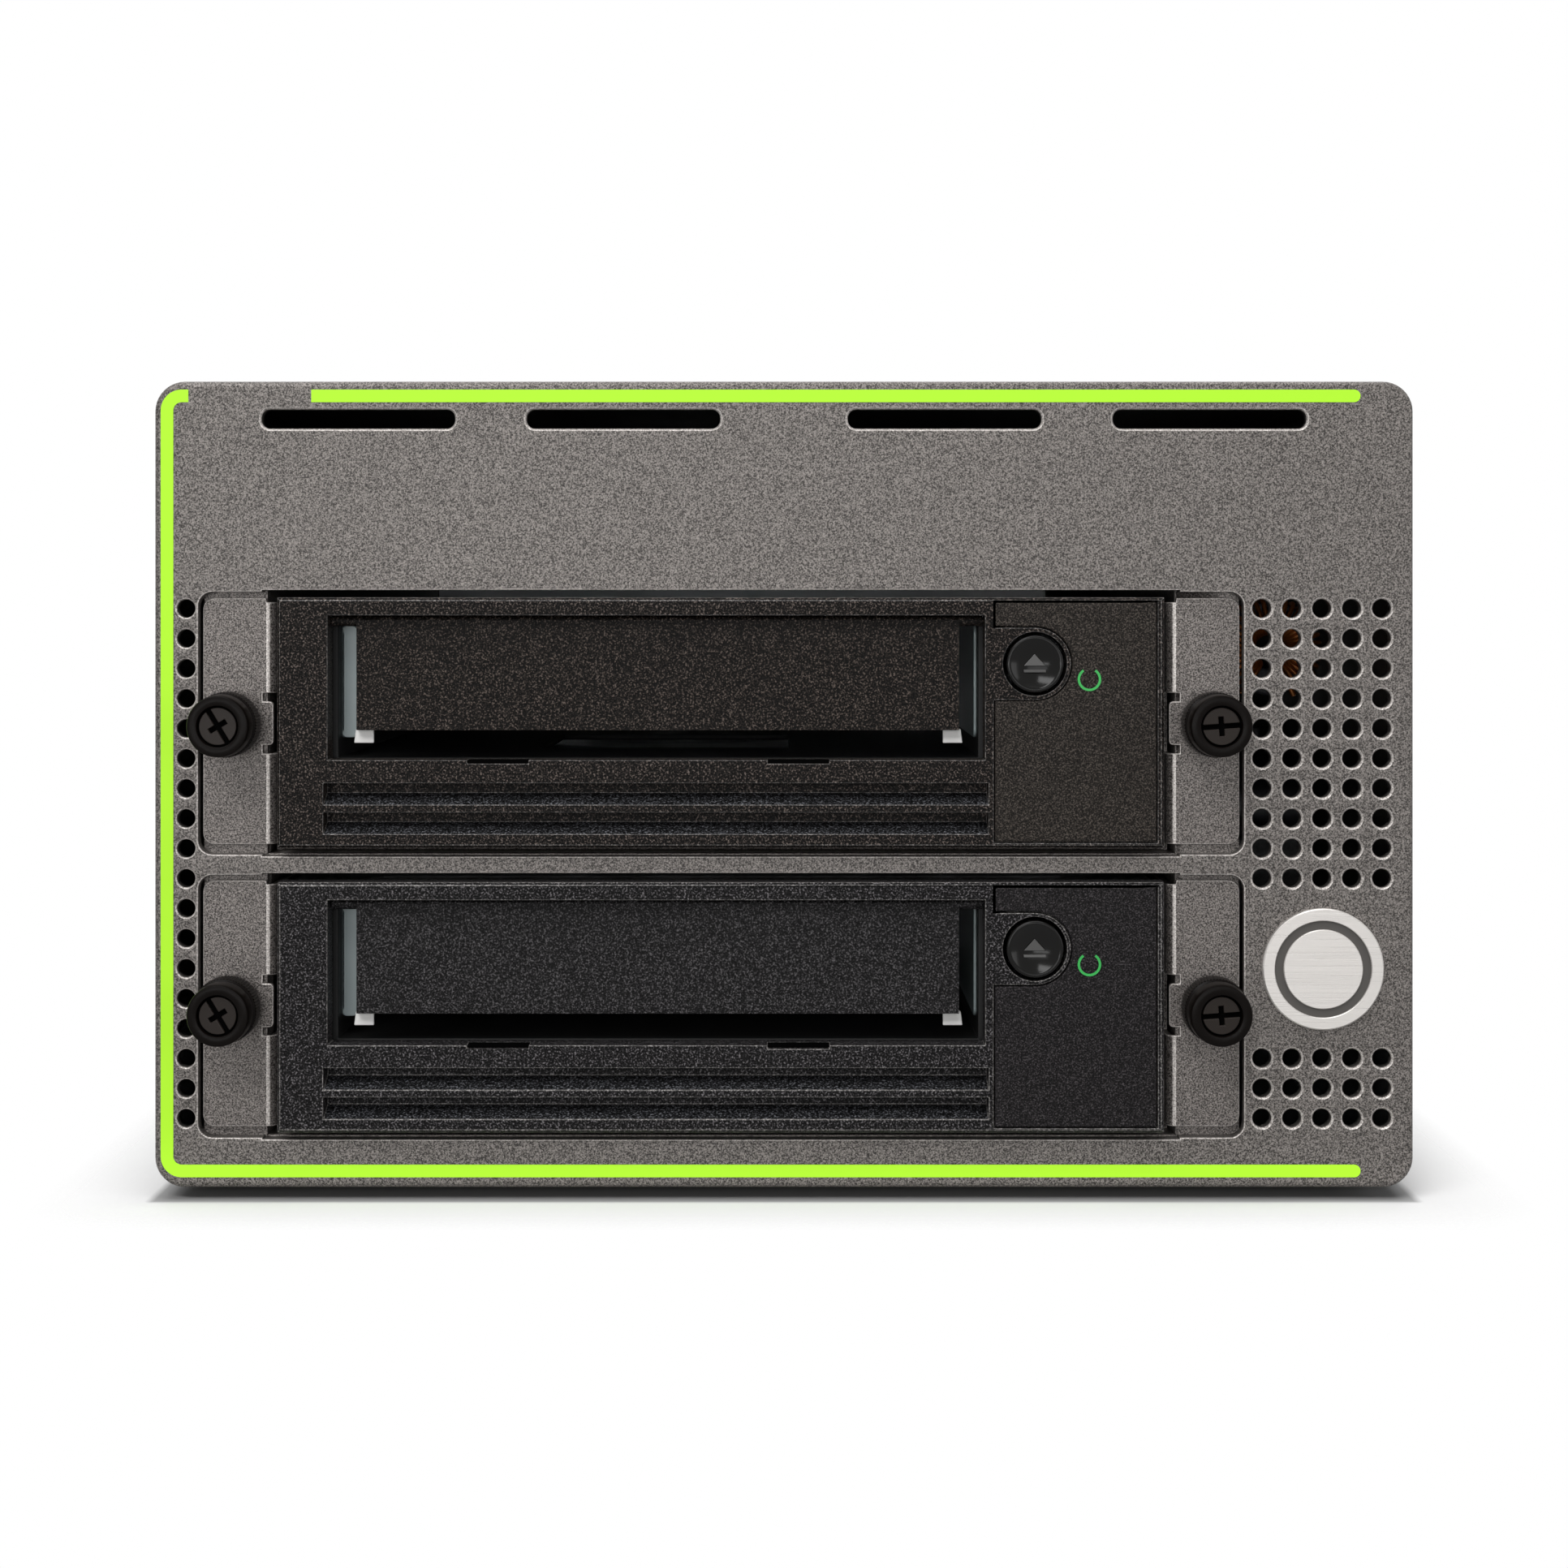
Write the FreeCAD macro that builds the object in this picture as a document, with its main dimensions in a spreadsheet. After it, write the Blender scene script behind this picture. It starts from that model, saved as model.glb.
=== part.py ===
import FreeCAD, Part
import math
import os
import Sketcher
from FreeCAD import Placement, Rotation, Vector

# A desktop enclosure that holds two half-height tape drives in pull-out sleds.
# Frame: x to the right, y to the back, z up. The floor is z = 0, and the origin lies under
# the middle of the whole object. Lengths are in millimetres.

DRIVING = {
    # Front panel: a plate with returns at its edges
    "panel_width": 210.0,
    "panel_height": 134.5,
    "panel_corner": 5.0,
    "panel_bevel": 0.6,
    "panel_plate": 2.5,
    "panel_return": 12.0,
    "panel_wall": 1.6,
    "panel_lift": 2.2,
    # Bay openings in the panel, one above the other
    "bay_shift": 10.5,
    "bay_base": 8.1,
    "bay_pitch": 47.2,
    "bay_height": 44.35,
    "bay_half_width": 76.5,
    "ear_bay_half_width": 87.2,
    "ear_bay_step": 0.28,
    "bay_corner": 2.4,
    # Slots along the top edge and round vents beside the bays
    "slot_length": 32.3,
    "slot_height": 3.2,
    "slot_drop": 6.3,
    "slot_corner": 1.0,
    "slot_near": 26.8,
    "slot_far": 71.0,
    "vent_width": 3.1,
    "vent_pitch": 5.0,
    "vent_margin": 5.3,
    "vent_base": 11.6,
    "vent_rows": 18,
    "vent_columns": 5,
    "vent_rows_above_badge": 10,
    "vent_rows_below_badge": 3,
    # Facets of round details: most of them repeat, so the small ones are drawn with few
    "vent_facets": 8,
    "pin_facets": 8,
    "bore_facets": 12,
    "knob_facets": 20,
    "button_facets": 32,
    "badge_facets": 48,
    "drum_facets": 16,
    "reel_facets": 36,
    # How far a cutting block reaches past what it cuts
    "cutter_over": 1.0,
    # Coloured stripe and round badge on the panel
    "stripe_width": 2.1,
    "stripe_side": 1.1,
    "stripe_top": 1.4,
    "stripe_bottom": 1.8,
    "stripe_corner": 3.5,
    "stripe_film": 0.15,
    "stripe_gap_start": 5.7,
    "stripe_gap": 20.5,
    "stripe_right": 8.9,
    "badge_width": 20.2,
    "badge_thickness": 1.2,
    # Casing behind the panel
    "case_depth": 318.0,
    "cover_inset": 0.4,
    "cover_sheet": 1.2,
    "cover_bend": 4.6,
    "cover_joint": 0.3,
    "cover_slot_count": 7,
    "cover_slot_width": 3.0,
    "cover_slot_height": 40.0,
    "cover_slot_pitch": 9.0,
    "cover_slot_base": 52.0,
    "cover_slot_back": 40.0,
    "case_clearance": 0.15,
    "chassis_sheet": 1.5,
    "chassis_wall": 22.0,
    "chassis_lip": 3.0,
    "chassis_corner": 2.4,
    "rear_sheet": 1.5,
    "rear_recess": 4.0,
    "foot_width": 14.0,
    "foot_inset": 21.0,
    "foot_draft": 1.0,
    # Cage of bent sheet that carries both sleds
    "cage_sheet": 1.2,
    "cage_half_width": 76.1,
    "cage_depth": 215.0,
    "cage_flange": 10.7,
    "cage_ceiling": 45.6,
    "shelf_top": 0.3,
    "cage_window_length": 28.0,
    "cage_window_height": 24.0,
    "cage_window_pitch": 60.0,
    "cage_window_start": 40.0,
    "cage_window_base": 12.0,
    "cage_windows": 3,
    "cage_leg_length": 20.0,
    "cage_leg_inset": 4.8,
    # Sled of bent sheet with an ear at each side
    "sled_sheet": 1.0,
    "sled_half_width": 75.5,
    "sled_rest": 0.05,
    "sled_wall": 41.0,
    "ear_half_width": 86.7,
    "ear_base": 1.85,
    "ear_height": 41.2,
    "ear_corner": 1.9,
    "relief_half_height": 5.05,
    "relief_length": 6.0,
    "relief_root": 1.2,
    "tongue_half_height": 3.65,
    "tongue_reach": 1.8,
    # Captive thumbscrews
    "screw_offset": 81.9,
    "screw_level": 22.1,
    "screw_width": 4.0,
    "screw_clearance": 0.08,
    "screw_hole_width": 5.2,
    "screw_point": 6.5,
    "knob_width": 11.0,
    "knob_length": 9.6,
    "knob_bevel": 0.8,
    "knob_recess_width": 7.2,
    "knob_recess": 0.6,
    "driver_slot_length": 5.6,
    "driver_slot_width": 1.0,
    "driver_slot_depth": 0.9,
    "washer_width": 7.6,
    "washer_sheet": 1.5,
    "washer_gap": 0.05,
    "clinch_width": 7.2,
    "clinch_length": 7.0,
    # Drive bezel
    "bezel_half_width": 73.5,
    "bezel_base": 1.65,
    "bezel_height": 41.5,
    "bezel_proud": 3.0,
    "bezel_depth": 5.0,
    "bezel_bevel": 0.5,
    "mouth_left": -65.1,
    "mouth_right": 43.8,
    "mouth_base": 16.2,
    "mouth_height": 24.0,
    "notch_left": -42.0,
    "notch_right": 7.8,
    "notch_width": 10.2,
    "notch_depth": 0.6,
    "notch_reach": 3.0,
    "louver_left": -65.8,
    "louver_right": 44.4,
    "louver_base": 3.95,
    "louver_pitch": 4.85,
    "louver_height": 3.6,
    "louver_slope": 1.7,
    "louver_depth": 4.1,
    # Control plate, eject button and status mark
    "control_left": 45.2,
    "control_right": 72.4,
    "control_base": 2.45,
    "control_height": 40.15,
    "control_depth": 1.4,
    "control_groove": 0.25,
    "button_across": 52.05,
    "button_level": 32.15,
    "button_pocket_width": 12.4,
    "button_width": 9.56,
    "button_gap": 0.52,
    "button_proud": 0.5,
    "button_length": 4.9,
    "button_rim": 0.35,
    "status_across": 61.05,
    "status_level": 29.3,
    "status_width": 3.9,
    "status_line": 0.55,
    "status_film": 0.15,
    "status_gap_angle": 68.0,
    # Cartridge door
    "door_left": -60.7,
    "door_right": 39.65,
    "door_sheet": 1.8,
    "door_setback": 2.5,
    "door_drop": 18.2,
    "door_barrel_width": 1.8,
    "door_barrel_drop": 0.95,
    "door_end_gap": 0.3,
    "door_pin_width": 1.2,
    "door_pin_length": 1.0,
    "door_pin_clearance": 0.05,
    "glide_width": 3.3,
    "glide_height": 5.2,
    "glide_drop": 3.2,
    "glide_sheet": 0.7,
    "glide_overhang": 0.7,
    # Drive body: a cast deck with side walls and a lid
    "drive_half_width": 73.0,
    "drive_length": 202.0,
    "drive_height": 41.0,
    "drive_wall": 1.5,
    "deck_level": 5.65,
    "deck_sheet": 1.5,
    "lid_sheet": 1.2,
    "lid_field": 0.5,
    "lid_margin": 9.0,
    "lid_corner": 6.0,
    # Cartridge tray and the parts that drive the tape
    "tray_left": -64.4,
    "tray_right": 43.1,
    "tray_sheet": 1.2,
    "tray_floor": 1.0,
    "tray_level": 15.2,
    "tray_front": 3.6,
    "tray_length": 101.0,
    "tray_wall": 23.6,
    "tray_window": 44.0,
    "rail_width": 4.0,
    "rail_gap": 0.1,
    "spindle_gap": 0.15,
    "hub_width": 26.0,
    "hub_height": 5.3,
    "hub_nose_width": 12.0,
    "hub_nose": 2.0,
    "spindle_pad": 30.0,
    "pad_height": 0.8,
    "reel_across": -12.0,
    "reel_back": 158.0,
    "reel_width": 78.0,
    "reel_flange": 1.6,
    "reel_core_width": 44.0,
    "reel_height": 17.5,
    "head_across": 50.0,
    "head_back": 118.0,
    "head_width": 18.0,
    "head_depth": 12.0,
    "head_height": 15.0,
    "head_level": 14.0,
    "head_gap": 0.1,
    "head_inset": 1.0,
    "head_nose": 2.0,
    "head_post": 3.0,
    "roller_width": 7.0,
    "roller_height": 16.0,
    "roller_spread": 17.0,
    # Circuit board under the deck and its plug
    "board_sheet": 1.6,
    "board_gap": 2.9,
    "board_margin": 3.0,
    "chip_height": 1.8,
    "chip_width": 18.0,
    "chip_pitch": 34.0,
    "chip_back": 70.0,
    "board_post": 5.0,
    "board_post_inset": 1.5,
    "plug_half_width": 24.0,
    "plug_height": 2.6,
    "plug_reach": 5.0,
    "plug_root": 8.0,
    "plug_clearance": 0.3,
    "socket_wall": 2.2,
    "socket_gap": 0.5,
    "socket_back": 1.0,
    "socket_board_half_width": 38.0,
    "socket_board_height": 26.0,
    # Power supply beside the cage
    "supply_standoff": 4.0,
    "supply_front": 24.0,
    "supply_length": 160.0,
    "supply_base": 12.0,
    "supply_height": 88.0,
    "transformer_back": 66.0,
    "transformer_base": 28.0,
    "transformer_length": 38.0,
    "transformer_height": 32.0,
    "transformer_reach": 25.0,
    "filter_back": 4.0,
    "filter_base": 20.0,
    "filter_length": 22.0,
    "filter_height": 24.0,
    "filter_reach": 20.0,
    "choke_back": 6.0,
    "choke_base": 67.0,
    "choke_length": 10.0,
    "choke_height": 20.0,
    "choke_reach": 24.0,
    "terminal_back": 132.0,
    "terminal_base": 20.0,
    "terminal_length": 10.0,
    "terminal_height": 44.0,
    "terminal_reach": 12.0,
    "sink_back": 112.0,
    "sink_base": 8.0,
    "sink_height": 70.0,
    "sink_reach": 24.0,
    "sink_sheet": 2.0,
    "sink_pitch": 6.0,
    "store_back": 43.0,
    "store_base": 20.0,
    "store_pitch": 26.0,
    "store_width": 22.0,
    "store_reach": 26.0,
    # Interface board on top of the cage
    "adapter_half_width": 62.0,
    "adapter_length": 118.0,
    "adapter_lift": 6.0,
    "cooler_half_width": 18.0,
    "cooler_length": 36.0,
    "cooler_setback": 30.0,
    "cooler_base": 3.0,
    "cooler_fins": 6,
    "cooler_fin_sheet": 2.0,
    "cooler_fin_height": 10.0,
    "header_shift": 30.0,
    "header_length": 26.0,
    "header_width": 8.0,
    "port_width": 27.0,
    "port_height": 9.0,
    "port_depth": 22.0,
    "port_wall": 1.0,
    "port_spacing": 40.0,
    "port_back": 4.0,
    "port_lip": 1.0,
    # Fan, mains inlet and rocker switch on the rear panel
    "fan_width": 80.0,
    "fan_depth": 25.0,
    "fan_across": -22.0,
    "fan_base": 14.0,
    "fan_bore": 76.0,
    "fan_hub": 34.0,
    "fan_motor": 6.0,
    "fan_corner": 3.0,
    "fan_strut": 4.0,
    "fan_strut_root": 1.0,
    "fan_spider": 4.0,
    "fan_hub_setback": 1.0,
    "fan_blades": 7,
    "fan_blade_sheet": 1.4,
    "fan_blade_pitch_angle": 55.0,
    "fan_blade_inset": 1.5,
    "fan_blade_root": 2.5,
    "fan_tip_gap": 1.2,
    "fan_running_gap": 0.3,
    "grille_slots": 11,
    "grille_slot_height": 3.6,
    "inlet_across": 72.0,
    "inlet_base": 18.0,
    "inlet_width": 28.5,
    "inlet_height": 20.5,
    "inlet_flange": 10.0,
    "inlet_flange_sheet": 1.8,
    "inlet_depth": 18.0,
    "inlet_wall": 2.0,
    "contact_pitch": 6.5,
    "contact_rise": 2.5,
    "contact_drop": 2.0,
    "contact_half_width": 1.0,
    "contact_half_height": 2.0,
    "contact_setback": 6.0,
    "rocker_base": 52.0,
    "rocker_width": 19.0,
    "rocker_height": 13.0,
    "rocker_depth": 9.0,
    "rocker_gap": 0.4,
    "switch_rim": 1.5,
    "switch_wall": 1.0,
    "rocker_tilt": 9.0,
}

doc = FreeCAD.newDocument("TapeDriveEnclosure")
sheet = doc.addObject("Spreadsheet::Sheet", "Sizes")
for row, (alias, value) in enumerate(DRIVING.items(), start=1):
    sheet.set(f"A{row}", alias)
    sheet.set(f"B{row}", str(value))
    sheet.setAlias(f"B{row}", alias)
doc.recompute()


# A number and the sheet expression that gives it, so that one sum sets a place now and binds it to the sheet.
class Term:
    def __init__(self, value, text):
        self.value = value
        self.text = text

    def __add__(self, other):
        other = as_term(other)
        return Term(self.value + other.value, f"({self.text} + {other.text})")

    def __sub__(self, other):
        other = as_term(other)
        return Term(self.value - other.value, f"({self.text} - {other.text})")

    def __mul__(self, other):
        other = as_term(other)
        return Term(self.value * other.value, f"{self.text} * {other.text}")

    def __truediv__(self, other):
        other = as_term(other)
        return Term(self.value / other.value, f"{self.text} / {other.text}")

    def __neg__(self):
        return Term(-self.value, f"(-1 * {self.text})")

    def __radd__(self, other):
        return as_term(other) + self

    def __rsub__(self, other):
        return as_term(other) - self

    def __rmul__(self, other):
        return as_term(other) * self


def as_term(value):
    if isinstance(value, Term):
        return value
    return Term(float(value), f"({float(value)!r})")


# The sheet's cells by name: dim.panel_width is the cell with that alias.
class Cells:
    def __getattr__(self, alias):
        return Term(float(sheet.get(alias)), f"Sizes.{alias}")


dim = Cells()
nodes = []


def bind(item, **terms):
    for name, value in terms.items():
        item.setExpression(name, as_term(value).text)


def bind_place(item, x=0, y=0, z=0):
    for axis, value in (("x", x), ("y", y), ("z", z)):
        item.setExpression(f"Placement.Base.{axis}", as_term(value).text)


def count(alias):
    return int(round(getattr(dim, alias).value))


# Sketch outlines. Each returns a function that draws one closed loop in a sketch and fixes it by the sheet.
def fix(profile, geometry, point, u, v):
    for kind, value in (("DistanceX", u), ("DistanceY", v)):
        value = as_term(value)
        index = profile.addConstraint(Sketcher.Constraint(kind, -1, 1, geometry, point, value.value))
        profile.setExpression(f"Constraints[{index}]", value.text)


def fix_one(profile, kind, geometry, value):
    value = as_term(value)
    index = profile.addConstraint(Sketcher.Constraint(kind, -1, 1, geometry, 1, value.value))
    profile.setExpression(f"Constraints[{index}]", value.text)


def fix_radius(profile, geometry, radius):
    radius = as_term(radius)
    index = profile.addConstraint(Sketcher.Constraint("Radius", geometry, radius.value))
    profile.setExpression(f"Constraints[{index}]", radius.text)


def disc(u, v, radius):
    def draw(profile):
        centre = Vector(as_term(u).value, as_term(v).value, 0)
        circle = profile.addGeometry(Part.Circle(centre, Vector(0, 0, 1), as_term(radius).value), False)
        fix(profile, circle, 3, u, v)
        fix_radius(profile, circle, radius)

    return draw


def outline(*points):
    def draw(profile):
        corners = [Vector(as_term(u).value, as_term(v).value, 0) for u, v in points]
        lines = [
            profile.addGeometry(Part.LineSegment(start, end), False)
            for start, end in zip(corners, corners[1:] + corners[:1])
        ]
        for line, following in zip(lines, lines[1:] + lines[:1]):
            profile.addConstraint(Sketcher.Constraint("Coincident", line, 2, following, 1))
        for line, (u, v) in zip(lines, points):
            fix(profile, line, 1, u, v)

    return draw


def rectangle(low_u, low_v, high_u, high_v):
    return outline((low_u, low_v), (high_u, low_v), (high_u, high_v), (low_u, high_v))


# A regular outline in place of a circle. A hole's facets lie outside its circle, so that a pin still turns.
def polygon(u, v, radius, sides, around=False):
    turn = 2 * math.pi / sides
    radius = radius / math.cos(turn / 2) if around else radius
    angles = [turn * (k + 0.5) for k in range(sides)]
    return outline(*[(u + radius * math.cos(a), v + radius * math.sin(a)) for a in angles])


# A rectangle with its corners cut off at an angle
def clipped(low_u, low_v, high_u, high_v, corner):
    return outline(
        (low_u + corner, low_v), (high_u - corner, low_v), (high_u, low_v + corner),
        (high_u, high_v - corner), (high_u - corner, high_v), (low_u + corner, high_v),
        (low_u, high_v - corner), (low_u, low_v + corner),
    )


def rounded(low_u, low_v, high_u, high_v, radius):
    def draw(profile):
        left, low, right, high, bend = (as_term(t).value for t in (low_u, low_v, high_u, high_v, radius))
        starts = ((left + bend, low), (right, low + bend), (right - bend, high), (left, high - bend))
        ends = ((right - bend, low), (right, high - bend), (left + bend, high), (left, low + bend))
        centres = ((right - bend, low + bend), (right - bend, high - bend),
                   (left + bend, high - bend), (left + bend, low + bend))
        lines = [
            profile.addGeometry(Part.LineSegment(Vector(*start, 0), Vector(*end, 0)), False)
            for start, end in zip(starts, ends)
        ]
        arcs = []
        for quarter, centre in enumerate(centres):
            circle = Part.Circle(Vector(*centre, 0), Vector(0, 0, 1), bend)
            first = (quarter - 1) * math.pi / 2
            arcs.append(profile.addGeometry(Part.ArcOfCircle(circle, first, first + math.pi / 2), False))
        for line, arc, following in zip(lines, arcs, lines[1:] + lines[:1]):
            profile.addConstraint(Sketcher.Constraint("Tangent", line, 2, arc, 1))
            profile.addConstraint(Sketcher.Constraint("Tangent", arc, 2, following, 1))
        for line, kind in zip(lines, ("Horizontal", "Vertical", "Horizontal", "Vertical")):
            profile.addConstraint(Sketcher.Constraint(kind, line))
        for arc in arcs:
            fix_radius(profile, arc, radius)
        fix_one(profile, "DistanceY", lines[0], low_v)
        fix_one(profile, "DistanceX", lines[1], high_u)
        fix_one(profile, "DistanceY", lines[2], high_v)
        fix_one(profile, "DistanceX", lines[3], low_u)

    return draw


# Features of a body. A sketch lies across one axis at a stated place, and a pad or pocket runs from
# there towards the positive end of that axis.
PLANES = {"x": ("YZ_Plane", 1), "y": ("XZ_Plane", -1), "z": ("XY_Plane", 1)}


def new_body(label):
    body = doc.addObject("PartDesign::Body", label)
    body.Label = label
    return body


def sketch(body, axis, at, loops):
    role, sense = PLANES[axis]
    profile = body.newObject("Sketcher::SketchObject", "Profile")
    plane = next(item for item in body.Origin.OriginFeatures if item.Role == role)
    profile.AttachmentSupport = (plane, [""])
    profile.MapMode = "FlatFace"
    profile.setExpression("AttachmentOffset.Base.z", (as_term(at) * sense).text)
    for loop in loops:
        loop(profile)
    return profile


def pad(body, axis, at, depth, *loops):
    profile = sketch(body, axis, at, loops)
    feature = body.newObject("PartDesign::Pad", "Pad")
    feature.Profile = profile
    feature.Reversed = PLANES[axis][1] < 0
    bind(feature, Length=depth)
    body.Tip = feature
    return feature


def pocket(body, axis, at, depth, *loops):
    profile = sketch(body, axis, at, loops)
    feature = body.newObject("PartDesign::Pocket", "Pocket")
    feature.Profile = profile
    feature.Reversed = PLANES[axis][1] > 0
    bind(feature, Length=depth)
    body.Tip = feature
    return feature


# Repeats the last feature in a row along its own sketch's upright or level axis.
def row_of(body, feature, direction, pitch, copies):
    pattern = body.newObject("PartDesign::LinearPattern", "Row")
    pattern.Originals = [feature]
    pattern.Direction = (feature.Profile[0], [direction])
    bind(pattern, Length=pitch * (copies - 1), Occurrences=copies)
    body.Tip = pattern
    return pattern


def dress(body, kind, size_name, size, chosen):
    doc.recompute()
    base = body.Tip
    names = [f"Edge{k}" for k, edge in enumerate(base.Shape.Edges, start=1) if chosen(edge)]
    feature = body.newObject(f"PartDesign::{kind}", kind)
    feature.Base = (base, names)
    bind(feature, **{size_name: size})
    body.Tip = feature
    return feature


def at_level(edge, axis, value):
    box = edge.BoundBox
    low, high = getattr(box, f"{axis.upper()}Min"), getattr(box, f"{axis.upper()}Max")
    return abs(low - value) < 1e-4 and abs(high - value) < 1e-4


# Part primitives with their places and sizes bound to the sheet.
def block(low, high, name="Block"):
    item = doc.addObject("Part::Box", name)
    length, width, height = (far - as_term(near) for near, far in zip(low, high))
    bind(item, Length=length, Width=width, Height=height)
    bind_place(item, *low)
    return item


TURNS = {
    "x": Rotation(Vector(0, 1, 0), 90),
    "y": Rotation(Vector(1, 0, 0), -90),
    "z": Rotation(),
}


def prism(start, length, radius, sides, axis="y"):
    item = doc.addObject("Part::Prism", "Prism")
    item.Placement = Placement(Vector(), TURNS[axis])
    bind(item, Polygon=sides, Circumradius=radius, Height=length)
    bind_place(item, *start)
    return item


def join(name, *pieces):
    item = doc.addObject("Part::MultiFuse", name)
    item.Shapes = list(pieces)
    item.Refine = True
    return item


def cut(name, base, *tools):
    item = doc.addObject("Part::Cut", name)
    item.Base = base
    item.Tool = tools[0] if len(tools) == 1 else join(f"{name}_cutters", *tools)
    item.Refine = True
    return item


def group(name, *pieces):
    item = doc.addObject("Part::Compound", name)
    item.Links = list(pieces)
    return item


def node(item, label, x=0, y=0, z=0):
    item.Label = label
    bind_place(item, x, y, z)
    nodes.append(item)
    return item


# Shared places. Casing pieces are drawn from the panel's front face (y) and lower edge (z).
half_panel = dim.panel_width / 2
ear_face = dim.panel_plate - dim.sled_rest - dim.sled_sheet
knob_back = ear_face - dim.washer_gap - dim.washer_sheet - dim.washer_gap
knob_reach = dim.knob_length - knob_back
face_y = (knob_reach - dim.case_depth) / 2
floor_low = dim.panel_wall + dim.case_clearance
floor_top = floor_low + dim.chassis_sheet
cover_half = half_panel - dim.cover_inset
cover_top = dim.panel_height - dim.cover_inset
inside_half = cover_half - dim.cover_sheet - dim.case_clearance
inside_top = cover_top - dim.cover_sheet - dim.case_clearance
rear_back = dim.case_depth - dim.rear_recess
rear_front = rear_back - dim.rear_sheet
cage_outer = dim.cage_half_width + dim.cage_sheet
cage_top = dim.bay_base + dim.bay_pitch + dim.cage_ceiling + dim.cage_sheet
cage_end = dim.panel_plate + dim.cage_depth
fan_level = dim.fan_base + dim.fan_width / 2
screw_row = [(side, bay) for bay in range(2) for side in (-1, 1)]


def case_node(item, label, x=0, y=0, z=0):
    return node(item, label, x, face_y + y, dim.panel_lift + z)


def front_panel():
    body = new_body("front_panel")
    wall, corner = dim.panel_wall, dim.panel_corner
    pad(body, "y", 0, dim.panel_return, rounded(-half_panel, 0, half_panel, dim.panel_height, corner))
    dress(body, "Chamfer", "Size", dim.panel_bevel, lambda edge: at_level(edge, "y", 0))
    hollow = rounded(wall - half_panel, wall, half_panel - wall, dim.panel_height - wall, corner - wall)
    pocket(body, "y", dim.panel_plate, dim.panel_return - dim.panel_plate, hollow)
    for bay in range(2):
        low = dim.bay_base + dim.bay_pitch * bay
        high = low + dim.bay_height
        left, right = -dim.bay_shift - dim.ear_bay_half_width, dim.ear_bay_half_width - dim.bay_shift
        step = dim.ear_bay_step
        pocket(body, "y", 0, dim.panel_plate, rounded(left, low + step, right, high - step, dim.bay_corner))
        left, right = -dim.bay_shift - dim.bay_half_width, dim.bay_half_width - dim.bay_shift
        pocket(body, "y", 0, dim.panel_plate, rectangle(left, low, right, high))
    slots = []
    for middle in (-dim.slot_far, -dim.slot_near, dim.slot_near, dim.slot_far):
        half, high = dim.slot_length / 2, dim.panel_height - dim.slot_drop + dim.slot_height / 2
        low = high - dim.slot_height
        slots.append(clipped(middle - half, low, middle + half, high, dim.slot_corner))
    pocket(body, "y", 0, dim.panel_plate, *slots)
    vents(body)
    return case_node(body, "front_panel")


def vents(body):
    edge, rows = half_panel - dim.vent_margin, dim.vent_rows
    left = pocket(body, "y", 0, dim.panel_plate, vent(-edge, dim.vent_base))
    row_of(body, left, "V_Axis", dim.vent_pitch, rows)
    below, above = dim.vent_rows_below_badge, dim.vent_rows_above_badge
    upper_start = dim.vent_base + dim.vent_pitch * (rows - above)
    for level, copies in ((dim.vent_base, below), (upper_start, above)):
        row = [vent(edge - dim.vent_pitch * k, level) for k in range(count("vent_columns"))]
        first = pocket(body, "y", 0, dim.panel_plate, *row)
        row_of(body, first, "V_Axis", dim.vent_pitch, copies)


def vent(u, v):
    return polygon(u, v, dim.vent_width / 2, count("vent_facets"), around=True)


def accent_stripe():
    body = new_body("stripe_outline")
    width, film = dim.stripe_width, dim.stripe_film
    left, low, high = dim.stripe_side - half_panel, dim.stripe_bottom, dim.panel_height - dim.stripe_top
    end = half_panel - dim.stripe_right - width / 2
    pad(body, "y", -film, film, rounded(left, low, half_panel, high, dim.stripe_corner))
    inner = dim.stripe_corner - width
    pocket(body, "y", -film, film, rounded(left + width, low + width, dim.panel_width, high - width, inner))
    pocket(body, "y", -film, film, rectangle(end, 0, dim.panel_width, dim.panel_height))
    for level in (low + width / 2, high - width / 2):
        pad(body, "y", -film, film, polygon(end, level, width / 2, count("bore_facets")))
    near = dim.stripe_gap_start - half_panel
    far = near + dim.stripe_gap
    gap = block((near, -2 * film, high - 2 * width), (far, 2 * film, dim.panel_height))
    return case_node(cut("stripe", body, gap), "accent_stripe")


def round_badge():
    body = new_body("round_badge")
    across = half_panel - dim.vent_margin - dim.vent_pitch * (dim.vent_columns - 1) / 2
    rows_down = dim.vent_rows - dim.vent_rows_above_badge
    level = dim.vent_base + dim.vent_pitch * (dim.vent_rows_below_badge + rows_down - 1) / 2
    rim = polygon(across, level, dim.badge_width / 2, count("badge_facets"))
    pad(body, "y", -dim.badge_thickness, dim.badge_thickness, rim)
    return case_node(body, "round_badge")


def top_cover():
    body = new_body("top_cover")
    start = dim.panel_return + dim.cover_joint
    length = dim.case_depth - start
    gauge, bend = dim.cover_sheet, dim.cover_bend
    pad(body, "y", start, length, rounded(-cover_half, -2 * bend, cover_half, cover_top, bend))
    side = cover_half - gauge
    pocket(body, "y", start, length, rounded(-side, gauge - 2 * bend, side, cover_top - gauge, bend - gauge))
    pocket(body, "y", start, length, rectangle(-half_panel, -3 * bend, half_panel, dim.cover_inset))
    first = dim.case_depth - dim.cover_slot_back - dim.cover_slot_pitch * (dim.cover_slot_count - 1)
    low, high = dim.cover_slot_base, dim.cover_slot_base + dim.cover_slot_height
    slot = rectangle(first, low, first + dim.cover_slot_width, high)
    slot = pocket(body, "x", -half_panel, dim.panel_width, slot)
    row_of(body, slot, "H_Axis", dim.cover_slot_pitch, dim.cover_slot_count)
    return case_node(body, "top_cover")


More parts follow.
